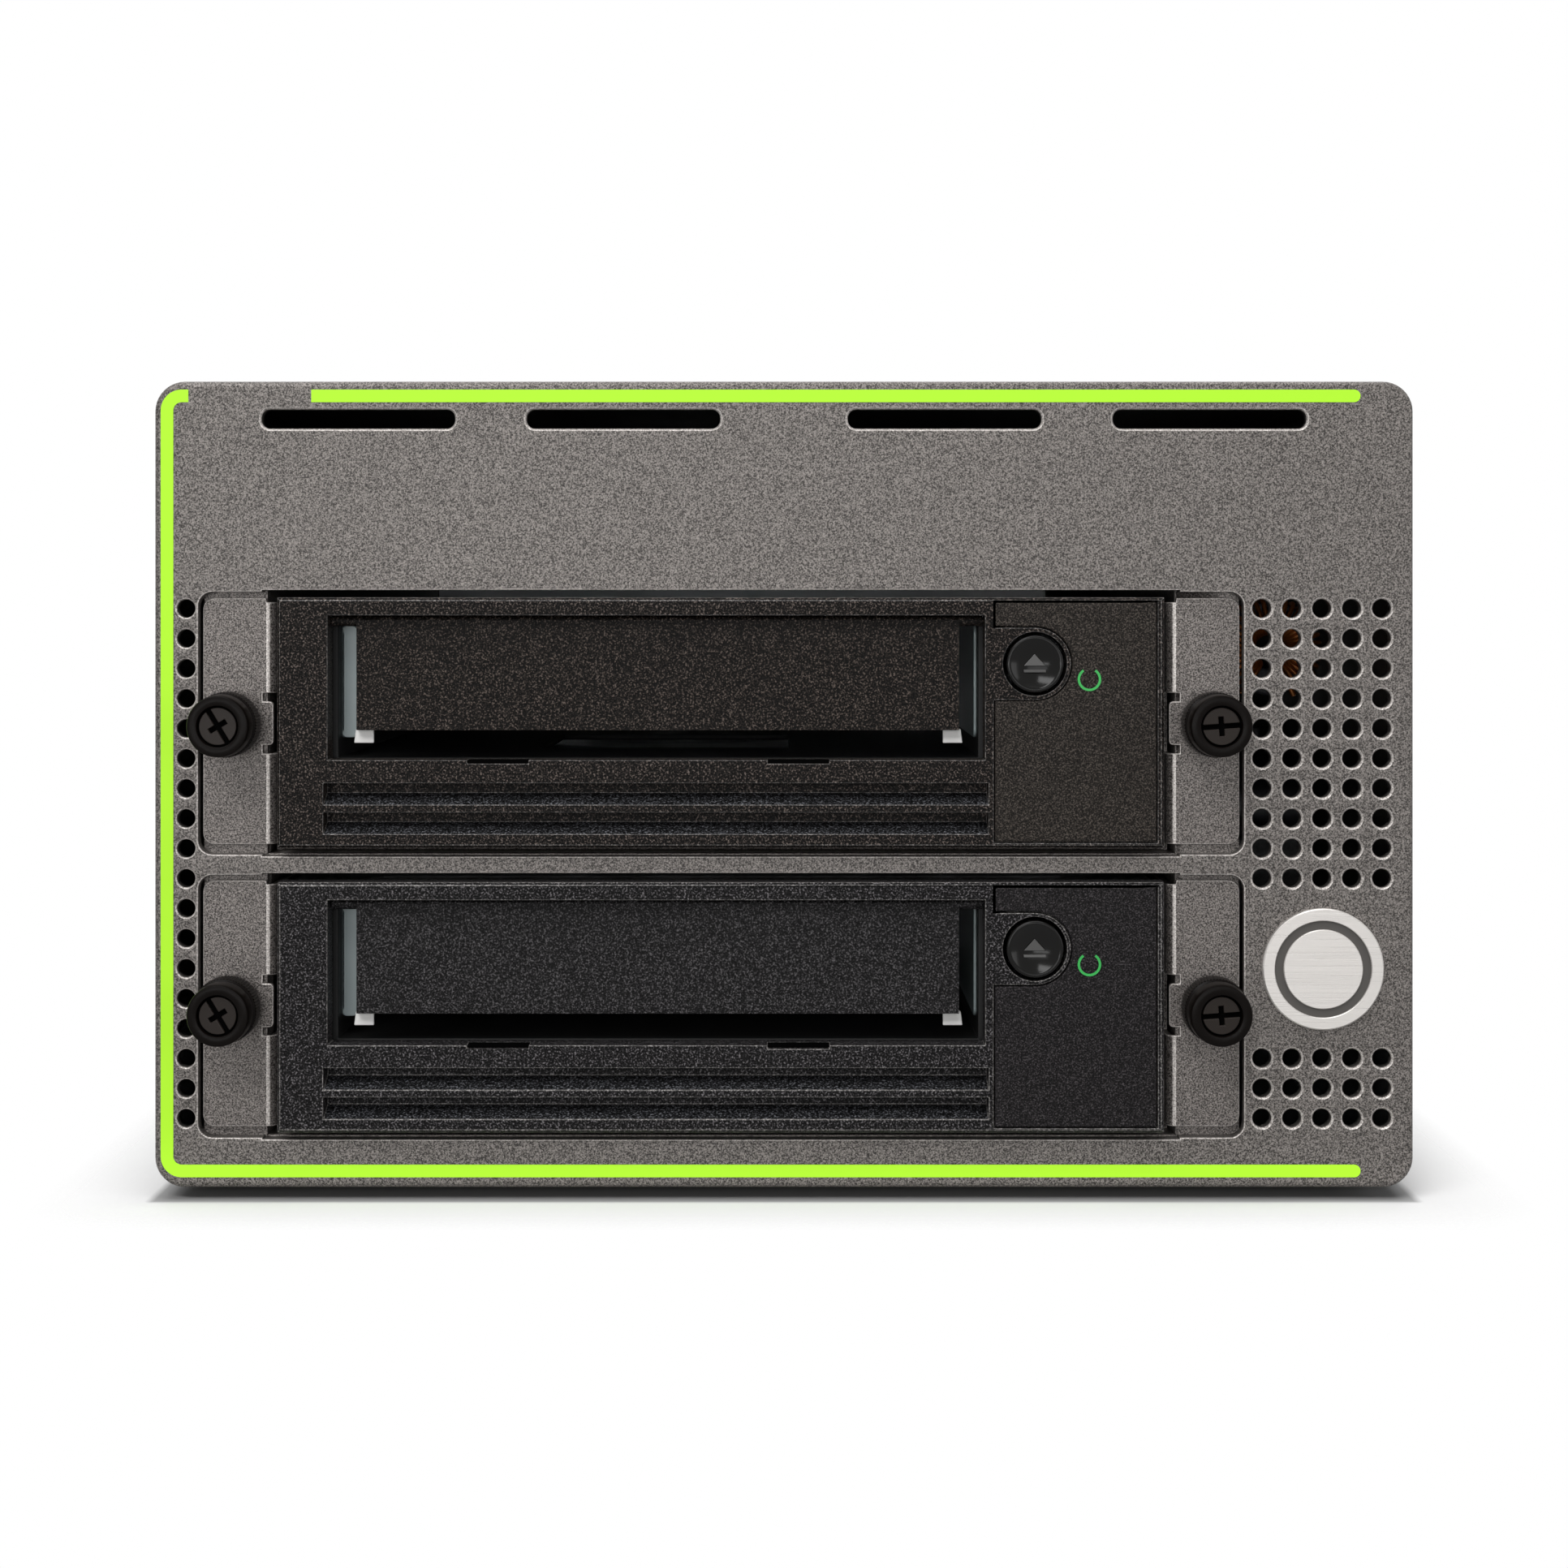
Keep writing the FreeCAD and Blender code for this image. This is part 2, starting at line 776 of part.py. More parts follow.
def bottom_chassis():
    body = new_body("bottom_chassis")
    gauge, rim = dim.chassis_sheet, floor_top + dim.chassis_wall
    inner, corner = inside_half - gauge, dim.chassis_corner
    crease = corner - gauge * (2 - math.sqrt(2))
    tray = outline(
        (corner - inside_half, floor_low), (inside_half - corner, floor_low),
        (inside_half, floor_low + corner), (inside_half, rim), (inner, rim), (inner, floor_top + crease),
        (inner - crease, floor_top), (crease - inner, floor_top), (-inner, floor_top + crease),
        (-inner, rim), (-inside_half, rim), (-inside_half, floor_low + corner),
    )
    pad(body, "y", dim.panel_plate, rear_front - dim.panel_plate, tray)
    lip = rectangle(corner - inner, floor_low, inner - corner, floor_top + dim.chassis_lip)
    pad(body, "y", dim.panel_plate, dim.cage_sheet, lip)
    return case_node(body, "bottom_chassis")


def rubber_feet():
    feet = []
    for side in (-1, 1):
        for back in (dim.foot_inset, dim.case_depth - dim.foot_inset):
            across, half = side * (half_panel - dim.foot_inset), dim.foot_width / 2
            foot = doc.addObject("Part::Wedge", "Foot")
            tip = half - dim.foot_draft
            bind(foot, Ymin=-dim.panel_lift, Ymax=floor_low, Xmin=-tip, Xmax=tip, Zmin=-tip, Zmax=tip)
            bind(foot, X2min=-half, X2max=half, Z2min=-half, Z2max=half)
            foot.Placement = Placement(Vector(), Rotation(Vector(1, 0, 0), 90))
            bind_place(foot, across, back, 0)
            feet.append(foot)
    return case_node(group("feet", *feet), "rubber_feet")


def rear_panel():
    body = new_body("rear_panel")
    gauge = dim.rear_sheet
    corner = dim.cover_bend - dim.cover_sheet
    pad(body, "y", rear_front, gauge, clipped(-inside_half, floor_low, inside_half, inside_top, corner))
    bore, slots = dim.fan_bore / 2, count("grille_slots")
    openings = []
    for k in range(slots):
        share = (k - (slots - 1) / 2) * 2 / slots
        reach, level = bore * math.sqrt(1 - share**2), fan_level + bore * share
        low = level - dim.grille_slot_height / 2
        left, right = dim.fan_across - reach, dim.fan_across + reach
        openings.append(rectangle(left, low, right, low + dim.grille_slot_height))
    left = dim.inlet_across - dim.inlet_width / 2
    high = dim.inlet_base + dim.inlet_height
    openings.append(rectangle(left, dim.inlet_base, left + dim.inlet_width, high))
    left = dim.inlet_across - dim.rocker_width / 2
    high = dim.rocker_base + dim.rocker_height
    openings.append(rectangle(left, dim.rocker_base, left + dim.rocker_width, high))
    for side in (-1, 1):
        left = port_middle(side) - dim.port_width / 2
        high = port_level() + dim.port_height
        openings.append(rectangle(left, port_level(), left + dim.port_width, high))
    pocket(body, "y", rear_front, gauge, *openings)
    return case_node(body, "rear_panel")


def port_middle(side):
    return side * dim.port_spacing / 2 - dim.bay_shift


def port_level():
    return cage_top + dim.adapter_lift + dim.board_sheet


# Cage pieces and sled pieces are drawn from the middle of a bay opening's lower edge.
def bay_node(item, label, bay=0, y=0):
    level = dim.panel_lift + dim.bay_base + dim.bay_pitch * bay
    return node(item, label, -dim.bay_shift, face_y + y, level)


# The cage is made of flat plates that meet face to face: three shelves, two sides with legs, two flanges.
def drive_cage():
    gauge, inner, front = dim.cage_sheet, dim.cage_half_width, dim.panel_plate
    low, high = dim.shelf_top - gauge, dim.bay_pitch + dim.cage_ceiling
    plates = [block((-inner, front, level), (inner, cage_end, level + gauge))
              for level in (low, low + dim.bay_pitch, high)]
    for near, far in ((-cage_outer, -inner), (inner, cage_outer)):
        plates.append(cage_side(near, far, low, high + gauge))
    reach, flange_low = inner + dim.cage_flange, low - gauge / 2
    for side, near, far in ((-1, -reach, -inner), (1, inner, reach)):
        blank = block((near, front, flange_low), (far, front + gauge, high + gauge))
        holes = [screw_cutter(side, bay, front, gauge) for bay in range(2)]
        plates.append(cut("Flange", blank, *holes))
    return bay_node(group("Cage", *plates), "drive_cage")


def cage_side(near, far, low, high):
    front, over, length = dim.panel_plate + dim.cage_sheet, dim.cutter_over, dim.cage_leg_length
    pieces = [block((near, front, low), (far, cage_end, high))]
    for start in (front + dim.cage_leg_inset, cage_end - dim.cage_leg_inset - length):
        pieces.append(block((near, start, floor_top - dim.bay_base), (far, start + length, low)))
    windows = []
    for bay in range(2):
        base = dim.cage_window_base + dim.bay_pitch * bay
        for k in range(count("cage_windows")):
            start = dim.cage_window_start + dim.cage_window_pitch * k
            windows.append(block((near - over, start, base),
                                 (far + over, start + dim.cage_window_length, base + dim.cage_window_height)))
    return cut("Side", join("Side_blank", *pieces), *windows)


# A faceted hole through a sheet of the cage, wide enough for a thumbscrew's shank
def screw_cutter(side, bay, front, gauge):
    across, level = screw_place(side, bay)
    radius, over = dim.screw_hole_width / 2 / math.cos(math.pi / count("bore_facets")), dim.cutter_over
    return prism((across, front - over, level), gauge + 2 * over, radius, dim.bore_facets)


def screw_place(side, bay):
    return side * dim.screw_offset, dim.screw_level + dim.bay_pitch * bay


def screw_hole(u, v):
    return polygon(u, v, dim.screw_hole_width / 2, count("bore_facets"), around=True)


# Corner radius of a faceted bore in which the screw turns with its clearance
def screw_bore():
    return (dim.screw_width / 2 + dim.screw_clearance) / math.cos(math.pi / count("bore_facets"))


def clinch_nuts():
    nuts = []
    start, bore, over = dim.panel_plate + dim.cage_sheet, screw_bore(), dim.cutter_over
    for side, bay in screw_row:
        across, level = screw_place(side, bay)
        outer = prism((across, start, level), dim.clinch_length, dim.clinch_width / math.sqrt(3), 6)
        hole = prism((across, start - over, level), dim.clinch_length + 2 * over, bore, dim.bore_facets)
        nuts.append(cut("Nut", outer, hole))
    return bay_node(group("nuts", *nuts), "clinch_nuts")


def docking_sockets():
    sockets = []
    front = dim.panel_plate + dim.drive_length + dim.socket_gap
    back = front + dim.plug_reach + dim.socket_gap
    for bay in range(2):
        level = dim.bay_pitch * bay
        slack, wall = dim.plug_clearance, dim.socket_wall
        low, high = level + plug_low() - slack, level + plug_low() + dim.plug_height + slack
        half, board_face = dim.plug_half_width + slack, back + dim.socket_back
        housing = block((-half - wall, front, low - wall), (half + wall, board_face, high + wall))
        mouth = block((-half, front - dim.cutter_over, low), (half, back, high))
        reach, shelf = dim.socket_board_half_width, level + dim.shelf_top
        board_top = shelf + dim.socket_board_height
        board = block((-reach, board_face, shelf), (reach, board_face + dim.board_sheet, board_top))
        sockets.append(join("Socket", cut("Housing", housing, mouth), board))
    return bay_node(group("sockets", *sockets), "docking_sockets")


def plug_low():
    return board_low() + dim.board_sheet


def board_low():
    return dim.sled_rest + dim.shelf_top + dim.sled_sheet + dim.deck_level - dim.board_gap - dim.board_sheet


def fan_frame():
    body = new_body("fan_frame")
    half, start = dim.fan_width / 2, rear_front - dim.fan_depth
    pad(body, "y", start, dim.fan_depth, clipped(-half, -half, half, half, dim.fan_corner))
    bore = polygon(0, 0, dim.fan_bore / 2, count("reel_facets"), around=True)
    pocket(body, "y", start, dim.fan_depth, bore)
    back, long, wide = rear_front - dim.fan_motor, half - dim.fan_strut_root, dim.fan_strut / 2
    for across, up in ((wide, long), (long, wide)):
        pad(body, "y", back, dim.fan_spider, rectangle(-across, -up, across, up))
    pad(body, "y", back, dim.fan_spider, polygon(0, 0, dim.fan_hub / 2, count("drum_facets")))
    return case_node(body, "fan_frame", dim.fan_across, 0, fan_level)


def fan_rotor():
    body = new_body("fan_rotor")
    start = rear_front - dim.fan_depth + dim.fan_hub_setback
    stop = rear_front - dim.fan_motor - dim.fan_running_gap
    length = stop - start
    pad(body, "y", start, length, polygon(0, 0, dim.fan_hub / 2, count("drum_facets")))
    lean = length / 2 / math.tan(math.radians(dim.fan_blade_pitch_angle.value))
    inset, gauge = dim.fan_blade_inset, dim.fan_blade_sheet
    near, far = start + inset, stop - inset
    blade = outline((-lean, near), (gauge - lean, near), (lean, far), (lean - gauge, far))
    root = dim.fan_hub / 2 - dim.fan_blade_root
    reach = dim.fan_bore / 2 - dim.fan_tip_gap - inset
    first = pad(body, "z", root, reach - root, blade)
    turn = body.newObject("PartDesign::PolarPattern", "Blades")
    turn.Originals = [first]
    spin_axis = next(item for item in body.Origin.OriginFeatures if item.Role == "Y_Axis")
    turn.Axis = (spin_axis, [""])
    turn.Angle = 360
    bind(turn, Occurrences=dim.fan_blades)
    body.Tip = turn
    return case_node(body, "fan_rotor", dim.fan_across, 0, fan_level)


def mains_inlet():
    across, width, height, wall = dim.inlet_across, dim.inlet_width, dim.inlet_height, dim.inlet_wall
    low, slack = dim.inlet_base, dim.case_clearance
    left, right, high = across - width / 2 + slack, across + width / 2 - slack, low + height - slack
    front, back = rear_front - dim.inlet_depth, rear_back + dim.inlet_flange_sheet
    shell = join(
        "Inlet_shell",
        block((left, front, low + slack), (right, back, high)),
        block((left - dim.inlet_flange, rear_back, low + slack), (right + dim.inlet_flange, back, high)),
    )
    over = dim.cutter_over
    socket = block((left + wall, front + wall, low + slack + wall), (right - wall, back + over, high - wall))
    pieces = [cut("Inlet_body", shell, socket)]
    middle, pitch = low + height / 2, dim.contact_pitch
    thin, tall = dim.contact_half_width, dim.contact_half_height
    for shift, rise in ((-pitch, -dim.contact_drop), (0, dim.contact_rise), (pitch, -dim.contact_drop)):
        pieces.append(block((across + shift - thin, front + wall, middle + rise - tall),
                            (across + shift + thin, back - dim.contact_setback, middle + rise + tall)))
    inlet = join("Inlet", *pieces)
    low, high = dim.rocker_base + slack, dim.rocker_base + dim.rocker_height - slack
    left, right = across - dim.rocker_width / 2 + slack, across + dim.rocker_width / 2 - slack
    rim, wall = dim.switch_rim, dim.switch_wall
    housing = block((left, rear_back - dim.rocker_depth - wall, low), (right, rear_back, high))
    frame = block((left - rim, rear_back, low - rim), (right + rim, rear_back + wall, high + rim))
    well = block((left + wall, rear_back - dim.rocker_depth, low + wall),
                 (right - wall, rear_back + wall + over, high - wall))
    switch = cut("Switch_housing", join("Switch_shell", housing, frame), well)
    return case_node(group("Mains", inlet, switch), "mains_inlet")


def power_rocker():
    body = new_body("power_rocker")
    width = dim.rocker_width - 2 * (dim.case_clearance + dim.switch_wall + dim.rocker_gap)
    half = dim.rocker_height / 2 - dim.case_clearance - dim.switch_wall - 2 * dim.rocker_gap
    wing = half * math.tan(math.radians(dim.rocker_tilt.value))
    rim = dim.rocker_depth / 4
    profile = outline(
        (rim + wing, -half), (rim, 0), (rim + wing, half), (0, half),
        (-rim, half / 3), (-rim, -half / 3), (0, -half),
    )
    pad(body, "x", -width / 2, width, profile)
    body.Placement = Placement(Vector(), Rotation(Vector(1, 0, 0), -dim.rocker_tilt.value))
    middle = dim.rocker_base + dim.rocker_height / 2
    return case_node(body, "power_rocker", dim.inlet_across, rear_back - rim / 2, middle)


def supply_board():
    side = cage_outer - dim.bay_shift
    front, low = dim.supply_front, dim.supply_base
    back, high = front + dim.supply_length, low + dim.supply_height
    board_x = side + dim.supply_standoff
    pieces = [block((board_x, front, low), (board_x + dim.board_sheet, back, high))]
    inset, post = dim.board_post_inset, dim.board_post
    for y in (front + inset, back - inset - post):
        for z in (low + inset, high - inset - post):
            pieces.append(block((side, y, z), (board_x, y + post, z + post)))
    return case_node(join("Supply_board", *pieces), "supply_board")


def supply_components():
    x = cage_outer - dim.bay_shift + dim.supply_standoff + dim.board_sheet
    y, z = dim.supply_front, dim.supply_base
    pieces = []
    for word in ("transformer", "filter", "choke", "terminal"):
        back, base = y + getattr(dim, f"{word}_back"), z + getattr(dim, f"{word}_base")
        far, high = back + getattr(dim, f"{word}_length"), base + getattr(dim, f"{word}_height")
        pieces.append(block((x, back, base), (x + getattr(dim, f"{word}_reach"), far, high)))
    base, high = z + dim.sink_base, z + dim.sink_base + dim.sink_height
    for k in range(2):
        back = y + dim.sink_back + dim.sink_pitch * k
        pieces.append(block((x, back, base), (x + dim.sink_reach, back + dim.sink_sheet, high), "Heat_sink"))
        place = (x, y + dim.store_back, z + dim.store_base + dim.store_pitch * k)
        pieces.append(prism(place, dim.store_reach, dim.store_width / 2, dim.drum_facets, "x"))
    return case_node(group("Supply", *pieces), "supply_components")


def adapter_board():
    low = cage_top + dim.adapter_lift
    half, back = dim.adapter_half_width, rear_front - dim.case_clearance
    front = back - dim.adapter_length
    middle = -dim.bay_shift
    high = low + dim.board_sheet
    pieces = [block((middle - half, front, low), (middle + half, back, high))]
    inset, size = dim.board_post_inset, dim.board_post
    for left in (middle - half + inset, middle + half - inset - size):
        pieces.append(block((left, front + inset, cage_top), (left + size, front + inset + size, low)))
    left, near, base = middle - dim.cooler_half_width, front + dim.cooler_setback, high + dim.cooler_base
    right, far = middle + dim.cooler_half_width, near + dim.cooler_length
    pieces.append(block((left, near, high), (right, far, base)))
    pitch, sheet = (right - left - dim.cooler_fin_sheet) / (dim.cooler_fins - 1), dim.cooler_fin_sheet
    for k in range(count("cooler_fins")):
        fin = left + pitch * k
        pieces.append(block((fin, near, base), (fin + sheet, far, base + dim.cooler_fin_height)))
    left, near, size = middle + dim.header_shift, front + dim.header_width, dim.header_width
    pieces.append(block((left, near, high), (left + dim.header_length, near + size, high + size)))
    return case_node(join("Adapter", *pieces), "adapter_board")


def rear_ports():
    ports = []
    wall, slack = dim.port_wall, dim.case_clearance
    back, over = rear_back + dim.port_lip, dim.cutter_over
    for side in (-1, 1):
        left = port_middle(side) - dim.port_width / 2 + slack
        right = left + dim.port_width - 2 * slack
        low, high = port_level(), port_level() + dim.port_height - slack
        front = back - dim.port_depth
        shell = block((left, front, low), (right, back, high))
        mouth = block((left + wall, front + dim.port_back, low + wall),
                      (right - wall, back + over, high - wall))
        ports.append(cut("Port", shell, mouth))
    return case_node(group("Ports", *ports), "rear_ports")


# Places shared by the pieces of one sled and its drive
sled_floor_low = dim.shelf_top + dim.sled_rest
sled_floor = sled_floor_low + dim.sled_sheet
bezel_top = dim.bezel_base + dim.bezel_height
bezel_front = -dim.bezel_proud
bezel_back = dim.bezel_depth - dim.bezel_proud
mouth_top = dim.mouth_base + dim.mouth_height
drive_end = bezel_back + dim.drive_length
drive_top = sled_floor + dim.drive_height
deck_low = sled_floor + dim.deck_level
deck_top = deck_low + dim.deck_sheet
door_front = bezel_front + dim.door_setback
door_axis_y = door_front + dim.door_sheet / 2
door_axis_z = mouth_top - dim.door_barrel_drop
tray_middle = (dim.tray_left + dim.tray_right) / 2
tray_back = dim.tray_front + dim.tray_length
spindle_y = dim.tray_front + dim.tray_length / 2


def sled(prefix, bay):
    body = new_body(f"{prefix}_sled")
    half, gauge = dim.sled_half_width, dim.sled_sheet
    inner, rim = half - gauge, sled_floor + dim.sled_wall
    tray = outline(
        (-half, sled_floor_low), (half, sled_floor_low), (half, rim), (inner, rim),
        (inner, sled_floor), (-inner, sled_floor), (-inner, rim), (-half, rim),
    )
    pad(body, "y", ear_face, drive_end - ear_face, tray)
    low, high, reach = dim.ear_base, dim.ear_base + dim.ear_height, dim.ear_half_width
    pad(body, "y", ear_face, gauge, rectangle(inner, low, reach, high), rectangle(-reach, low, -inner, high))

    def ear_corner(edge):
        box = edge.BoundBox
        return abs(abs(box.XMin) - reach.value) + box.XLength + box.ZLength < 1e-4

    dress(body, "Fillet", "Radius", dim.ear_corner, ear_corner)
    level, relief, tongue = dim.screw_level, dim.relief_half_height, dim.tongue_half_height
    root = half + dim.relief_root
    cuts, tongues, holes = [], [], []
    for side in (-1, 1):
        cuts.append(band(side, inner - dim.case_clearance, root, level, relief))
        tongues.append(band(side, root - dim.tongue_reach, root + gauge, level, tongue))
        holes.append(screw_hole(side * dim.screw_offset, level))
    pocket(body, "y", ear_face, dim.relief_length, *cuts)
    pad(body, "y", ear_face, gauge, *tongues)
    pocket(body, "y", ear_face, gauge, *holes)
    return bay_node(body, f"{prefix}_sled", bay)


# A rectangle from one distance to another on one side of the middle, above and below a level.
def band(side, near, far, level, half_height):
    edges = sorted((near * side, far * side), key=lambda edge: edge.value)
    return rectangle(edges[0], level - half_height, edges[1], level + half_height)


def thumbscrew(prefix, bay, side, word):
    body = new_body(f"{prefix}_thumbscrew_{word}")
    knob_front, radius = knob_back - dim.knob_length, dim.knob_width / 2
    pad(body, "y", knob_front, dim.knob_length, polygon(0, 0, radius, count("knob_facets")))
    dress(body, "Chamfer", "Size", dim.knob_bevel, lambda edge: at_level(edge, "y", knob_front.value))
    pocket(body, "y", knob_front, dim.knob_recess, disc(0, 0, dim.knob_recess_width / 2))
    half, width = dim.driver_slot_length / 2, dim.driver_slot_width / 2
    slot_start = knob_front + dim.knob_recess
    pocket(body, "y", slot_start, dim.driver_slot_depth, rectangle(-width, -half, width, half))
    pad(body, "y", knob_back, dim.screw_point, polygon(0, 0, dim.screw_width / 2, count("bore_facets")))
    across, level = screw_place(side, 0)
    label = f"{prefix}_thumbscrew_{word}"
    bay_level = dim.panel_lift + dim.bay_base + dim.bay_pitch * bay
    return node(body, label, across - dim.bay_shift, face_y, bay_level + level)


def spring_washer(prefix, bay, side, word):
    across, level = screw_place(side, 0)
    back = ear_face - dim.washer_gap
    front = back - dim.washer_sheet
    over = dim.cutter_over
    outer = prism((across, front, level), dim.washer_sheet, dim.washer_width / 2, dim.bore_facets)
    hole = prism((across, front - over, level), dim.washer_sheet + 2 * over, screw_bore(), dim.bore_facets)
    return bay_node(cut("Washer", outer, hole), f"{prefix}_washer_{word}", bay)


def bezel(prefix, bay):
    body = new_body(f"{prefix}_bezel")
    half, low, depth = dim.bezel_half_width, dim.bezel_base, dim.bezel_depth
    pad(body, "y", bezel_front, depth, rectangle(-half, low, half, bezel_top))
    dress(body, "Chamfer", "Size", dim.bezel_bevel, lambda edge: at_level(edge, "y", bezel_front.value))
    mouth = rectangle(dim.mouth_left, dim.mouth_base, dim.mouth_right, mouth_top)
    pocket(body, "y", bezel_front, depth, mouth)
    notch = dim.notch_depth
    notches = [
        rectangle(left, dim.mouth_base - notch, left + dim.notch_width, dim.mouth_base)
        for left in (dim.notch_left, dim.notch_right)
    ]
    pocket(body, "y", bezel_front, dim.notch_reach, *notches)
    width = dim.louver_right - dim.louver_left
    for step in range(2):
        base = dim.louver_base + dim.louver_pitch * step
        back, top = bezel_front + dim.louver_depth, base + dim.louver_height
        ramp = (back, base + dim.louver_slope)
        sloped = outline((bezel_front, base), ramp, (back, top), (bezel_front, top))
        pocket(body, "x", dim.louver_left, width, sloped)
    control_seat(body)
    pivots = dim.door_pin_width / 2 + dim.door_pin_clearance
    for start in (dim.mouth_left - dim.door_pin_length, dim.mouth_right):
        bearing = polygon(door_axis_y, door_axis_z, pivots, count("pin_facets"), around=True)
        pocket(body, "x", start, dim.door_pin_length, bearing)
    return bay_node(body, f"{prefix}_bezel", bay)


# The control plate lies in a shallow seat, where a tongue of the bezel reaches round the eject button.
def control_seat(body):
    left, right, low = dim.control_left, dim.control_right, dim.control_base
    depth, groove = dim.control_depth, dim.control_groove
    pocket(body, "y", bezel_front, depth, rectangle(left, low, right, low + dim.control_height))
    across, level = dim.button_across, dim.button_level
    half = dim.button_pocket_width / 2 - groove
    pad(body, "y", bezel_front, depth, rectangle(left - groove, level - half, across, level + half))
    pad(body, "y", bezel_front, depth, disc(across, level, half))
    hole = polygon(across, level, dim.button_width / 2 + dim.button_gap, count("button_facets"), around=True)
    pocket(body, "y", bezel_front, dim.bezel_depth, hole)


def control_plate(prefix, bay):
    body = new_body(f"{prefix}_control_plate")
    groove, depth = dim.control_groove, dim.control_depth
    left, right = dim.control_left + groove, dim.control_right - groove
    low, high = dim.control_base + groove, dim.control_base + dim.control_height - groove
    pad(body, "y", bezel_front, depth, rectangle(left, low, right, high))
    across, level, half = dim.button_across, dim.button_level, dim.button_pocket_width / 2
    pocket(body, "y", bezel_front, depth, rectangle(left - groove, level - half, across, level + half))
    pocket(body, "y", bezel_front, depth, disc(across, level, half))
    return bay_node(body, f"{prefix}_control_plate", bay)


def status_ring(prefix, bay):
    body = new_body(f"{prefix}_status_ring")
    outer, gap = dim.status_width / 2, math.radians(dim.status_gap_angle.value / 2)
    steps = count("drum_facets")
    turns = [math.pi / 2 + gap + (2 * math.pi - 2 * gap) * k / steps for k in range(steps + 1)]
    far = [(outer * math.cos(turn), outer * math.sin(turn)) for turn in turns]
    inner = outer - dim.status_line
    near = [(inner * math.cos(turn), inner * math.sin(turn)) for turn in reversed(turns)]
    pad(body, "y", bezel_front - dim.status_film, dim.status_film, outline(*far, *near))
    level = dim.panel_lift + dim.bay_base + dim.bay_pitch * bay + dim.status_level
    return node(body, f"{prefix}_status_ring", dim.status_across - dim.bay_shift, face_y, level)


def eject_button(prefix, bay):
    body = new_body(f"{prefix}_eject_button")
    front, radius = bezel_front - dim.button_proud, dim.button_width / 2
    pad(body, "y", front, dim.button_length, polygon(0, 0, radius, count("button_facets")))
    dress(body, "Chamfer", "Size", dim.button_rim, lambda edge: at_level(edge, "y", front.value))
    level = dim.panel_lift + dim.bay_base + dim.bay_pitch * bay + dim.button_level
    return node(body, f"{prefix}_eject_button", dim.button_across - dim.bay_shift, face_y, level)


def tape_door(prefix, bay):
    body = new_body(f"{prefix}_tape_door")
    start, end = dim.mouth_left + dim.door_end_gap, dim.mouth_right - dim.door_end_gap
    barrel = dim.door_barrel_width / 2
    pad(body, "x", start, end - start, disc(0, 0, barrel))
    pin = dim.door_pin_length - dim.door_pin_clearance + dim.door_end_gap
    for place in (start - pin, end):
        pad(body, "x", place, pin, polygon(0, 0, dim.door_pin_width / 2, count("pin_facets")))
    leaf = rectangle(-dim.door_sheet / 2, -dim.door_drop, dim.door_sheet / 2, 0)
    pad(body, "x", dim.door_left, dim.door_right - dim.door_left, leaf)
    return door_node(body, f"{prefix}_tape_door", bay)


def door_node(item, label, bay):
    level = dim.panel_lift + dim.bay_base + dim.bay_pitch * bay
    return node(item, label, -dim.bay_shift, face_y + door_axis_y, level + door_axis_z)


def door_glides(prefix, bay):
    tips = []
    over, back = dim.glide_overhang, dim.door_sheet / 2
    for left in (dim.door_left - over, dim.door_right + over - dim.glide_width):
        low = -dim.door_drop - dim.glide_drop
        right = left + dim.glide_width
        tips.append(block((left, back, low), (right, back + dim.glide_sheet, low + dim.glide_height)))
    return door_node(group("Glides", *tips), f"{prefix}_door_glides", bay)


def drive_base(prefix, bay):
    body = new_body(f"{prefix}_drive_base")
    half, wall = dim.drive_half_width, dim.drive_wall
    inner, rim = half - wall, drive_top - dim.lid_sheet
    walls = outline(
        (-half, sled_floor), (-inner, sled_floor), (-inner, deck_low), (inner, deck_low), (inner, sled_floor),
        (half, sled_floor), (half, rim), (inner, rim), (inner, deck_top), (-inner, deck_top), (-inner, rim),
        (-half, rim),
    )
    pad(body, "y", bezel_back, dim.drive_length, walls)
    pad(body, "y", drive_end - wall, wall, rectangle(-inner, sled_floor, inner, rim))
    slack = dim.plug_clearance
    plug = rectangle(-dim.plug_half_width - slack, plug_low() - slack,
                     dim.plug_half_width + slack, plug_low() + dim.plug_height + slack)
    pocket(body, "y", drive_end - wall, wall, plug)
    rail_top = dim.tray_level - dim.rail_gap
    gauge, rail = dim.tray_sheet, dim.rail_width
    rails = [rectangle(dim.tray_left - gauge, deck_top, dim.tray_left - gauge + rail, rail_top),
             rectangle(dim.tray_right + gauge - rail, deck_top, dim.tray_right + gauge, rail_top)]
    pad(body, "y", bezel_back, tray_back - bezel_back, *rails)
    pads = [pad_square(tray_middle, spindle_y), pad_square(dim.reel_across, dim.reel_back)]
    pad(body, "z", deck_top, dim.pad_height, *pads)
    across, back, near = dim.head_across, dim.head_back, dim.head_gap
    posts = []
    for left in (across - dim.head_width / 2 - near - dim.head_post, across + dim.head_width / 2 + near):
        posts.append(rectangle(left, back, left + dim.head_post, back + dim.head_depth))
    pad(body, "z", deck_top, dim.head_level + dim.head_height - deck_top, *posts)
    return bay_node(body, f"{prefix}_drive_base", bay)


def pad_square(across, back):
    half = dim.spindle_pad / 2
    return rectangle(across - half, back - half, across + half, back + half)


